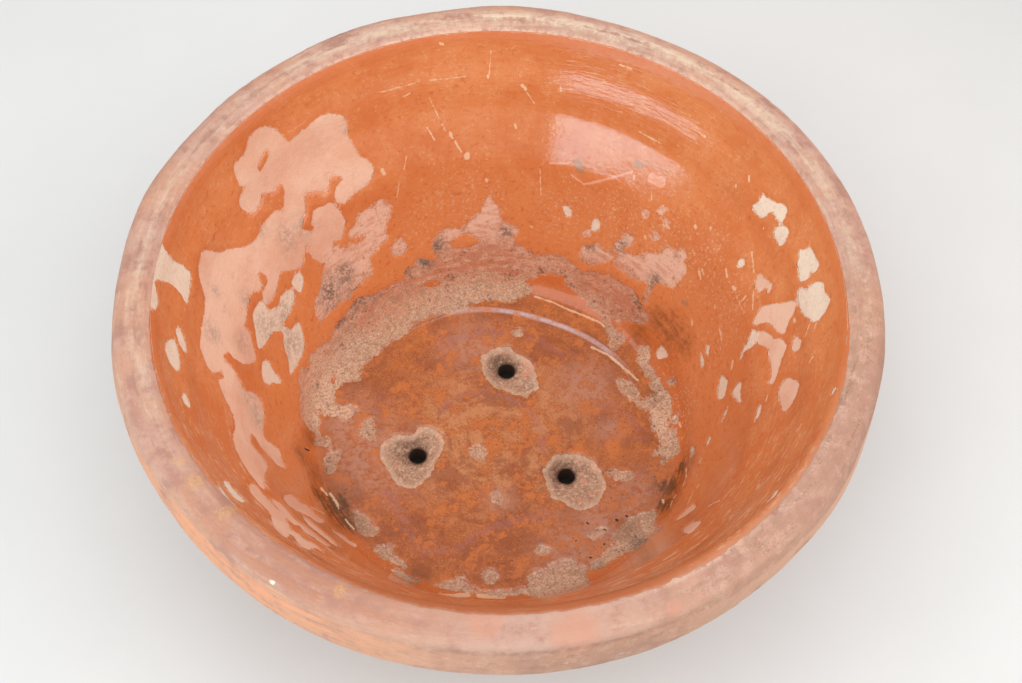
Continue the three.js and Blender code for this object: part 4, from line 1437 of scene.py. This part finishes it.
def glaze_finish():
    """Orange glaze: wall and floor colours, chips, scuffs, stains and scrapes, painted shade over the near
    bevel, and a painted highlight on the step.
    """
    f = Finish("orange_glaze")
    reach, near, front, step = (f.layer(key) for key in ("reach", "near", "front", "step"))
    broad, coarse, fine, grit = f.noise(40), f.noise(10), f.noise(2.6), f.noise(0.8, 3)
    speck, thread = f.noise(1.5, 2), f.noise(1.6, 3, f.vector("ring"))
    on_floor = 1 - f.band(reach, 0.76, 0.88)
    colour = f.blend(wall_colour(f, reach, broad, coarse, fine, grit, speck, thread),
                     floor_colour(f, reach, coarse, fine, grit, speck), on_floor)
    chipped = f.layer("fray") + (grit - 0.5) * 1.4 + (speck - 0.5) * 0.8
    chip = f.blend(paint(234, 178, 148), paint(232, 204, 178), f.layer("cream"))
    colour = f.blend(colour, chip, f.band(chipped, 0.66, 0.8) * 0.85)
    scuffed = f.layer("scuff") + (speck - 0.5) * 1.3 + (fine - 0.5) * 0.8 + (thread - 0.5) * 0.3
    colour = f.blend(colour, rubbed_clay(f, fine, grit), f.band(scuffed, 0.72, 0.98) * 0.8)
    stained = f.layer("stain") * f.band(coarse * 0.3 + fine * 0.4 + thread * 0.3, 0.32, 0.6)
    sooty = f.layer("soot") + (thread - 0.5) * 1.2 + (speck - 0.5) * 0.9
    scrape = near * f.band(reach, 1.3, 1.6) * f.band(thread * 0.8 + coarse * 0.2, 0.57, 0.6)
    mouth = MOUTH_REACH / REACH_UNIT
    # Painted shade: the glaze past the mouth on the near side is painted a darker orange brown.
    painted_bevel_shade = f.band(reach, mouth - 0.03, mouth)
    soft_edge = (1 - f.band(f.layer("lip") + (fine - 0.5) * 4, 0, 5)) * near * (1 - front)
    lip = 1 - f.band(f.layer("lip") + (fine - 0.5) * 2, 0, 1.5)
    # Painted highlight: a pale bluish line on the crown of the floor's step, at the back.
    painted_step_highlight = f.band(step, -1.4, -0.2) * f.band(step, 1.6, 0.2) * f.layer("shine")
    under_rim = f.band(reach, mouth - 0.08, mouth - 0.02)
    rough = (fine - 0.5) * 1.6 + (grit - 0.5) * 1.2
    colour = f.coats(
        colour,
        ((132, 74, 36), stained * 0.75),
        ((78, 54, 32), f.band(sooty, 0.48, 0.95) * 0.75),
        ((236, 186, 146), scrape * 0.8),
        # Painted shade over the near bevel.
        ((178, 96, 54), painted_bevel_shade * (near * 0.3 + front * 0.6)),
        ((216, 144, 106), soft_edge * 0.65),
        ((200, 138, 108), lip * near * 0.7),
        # Painted highlight on the step's crown.
        ((216, 194, 200), painted_step_highlight * f.band(fine * 0.4 + coarse * 0.6, 0.36, 0.56) * 0.7),
        ((204, 106, 54), under_rim * (1 - near) * 0.6),
        *((tint, f.marks(on_plan(marks), rough) * strength) for tint, strength, marks in GLAZE_MARKS))
    roughness = 0.07 + f.band(fine, 0.5, 0.75) * 0.1 + on_floor * 0.12 - painted_step_highlight * 0.1 + under_rim * 0.35
    rise = f.band(step, -1.6, 1.6) * f.layer("ridge")
    combed = 0.4 + f.band(reach, 1.76, 1.84) * 2.2
    normal = f.bump(rise, 0.9, f.bump(fine + coarse * 0.6 + thread * combed, 0.08))
    return f.surface(base_color=colour, roughness=roughness, normal=normal)


glaze = glaze_finish()

# %% [markdown]
# Every piece gets its finish, rides on the bowl's one body and takes the place of its solid.

# %% Pieces
pieces = [
    (base_slab, "base_slab", "terracotta", bare_clay),
    (thrown_wall, "thrown_wall", "terracotta", bare_clay),
    (rolled_rim, "rolled_rim", "terracotta", rim_clay),
    (wall_glaze, "wall_glaze", "glaze", glaze),
    (floor_glaze, "floor_glaze", "glaze", glaze),
]
for piece, node, slot, finish in pieces:
    piece.data.materials.append(finish)
    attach(piece, "root")
    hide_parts(node)
print(len(pieces), "pieces dressed")

# %% [markdown]
# The floor and the light are a plain studio: a pale floor with shade painted dark under the bowl, which shows
# through the drain holes, and painted greyer as shade far from the bowl, an even sky with a broad panel
# overhead, a weak fill from the right, and one soft window low at the front left, whose reflection shows on
# the wall.

# %% Studio
FLOOR_HALF = 3.0
UNDER_BOWL_SHADE_RADIUS, UNDER_BOWL_SHADE_EDGE = 75, 15
FAR_FLOOR_SHADE_SPAN = (0.3, 0.8)


def studio_floor():
    """A pale floor with shade painted dark under the middle of the bowl and painted greyer as shade far from
    it.
    """
    mesh = bpy.data.meshes.new("studio_floor")
    corners = [(-FLOOR_HALF, -FLOOR_HALF, 0), (FLOOR_HALF, -FLOOR_HALF, 0),
               (FLOOR_HALF, FLOOR_HALF, 0), (-FLOOR_HALF, FLOOR_HALF, 0)]
    mesh.from_pydata(corners, [], [(0, 1, 2, 3)])
    floor = bpy.data.objects.new("studio_floor", mesh)
    bpy.context.scene.collection.objects.link(floor)
    f = Finish("studio_floor")
    colour = f.blend(paint(224, 222, 219), paint(230, 228, 225), f.noise(60))
    from_middle = f.arrows("LENGTH", {0: f.place})["Value"]
    colour = f.coats(
        colour,
        # Painted shade: dark under the bowl, where the floor is seen through the drain holes.
        ((40, 30, 24), f.band(from_middle, UNDER_BOWL_SHADE_RADIUS * MM, (UNDER_BOWL_SHADE_RADIUS - UNDER_BOWL_SHADE_EDGE) * MM)),
        # Painted shade: greyer far from the bowl.
        ((184, 182, 180), f.band(from_middle, *FAR_FLOOR_SHADE_SPAN)))
    mesh.materials.append(f.surface(base_color=colour, roughness=0.95))


def soft_light(name, place, aim, size, watts, colour=(1, 1, 1)):
    """Rectangular lamp at a place, turned towards an aim."""
    data = bpy.data.lights.new(name, "AREA")
    data.shape = "RECTANGLE"
    data.size, data.size_y = size
    data.energy = watts
    data.color = colour
    lamp = bpy.data.objects.new(name, data)
    bpy.context.scene.collection.objects.link(lamp)
    lamp.location = place
    lamp.rotation_euler = (Vector(aim) - Vector(place)).to_track_quat("-Z", "Y").to_euler()


studio_floor()
soft_light("window", (-0.85, -0.98, 0.42), (0, 0, 0.1), (1.1, 0.42), 8.8, (0.62, 0.9, 1))
soft_light("sky_panel", (-0.2, -0.45, 1.9), (0, 0, 0), (2.4, 2.1), 28)
soft_light("fill", (1.3, -0.2, 0.9), (0, 0, 0.05), (1.2, 1.2), 7)
world = bpy.data.worlds.new("studio")
world.use_nodes = True
background = world.node_tree.nodes["Background"]
background.inputs["Color"].default_value = paint(250, 250, 252)
background.inputs["Strength"].default_value = 0.5
bpy.context.scene.world = world
bpy.context.scene.view_settings.view_transform = "Standard"
print("lights", [lamp.name for lamp in bpy.data.lights])
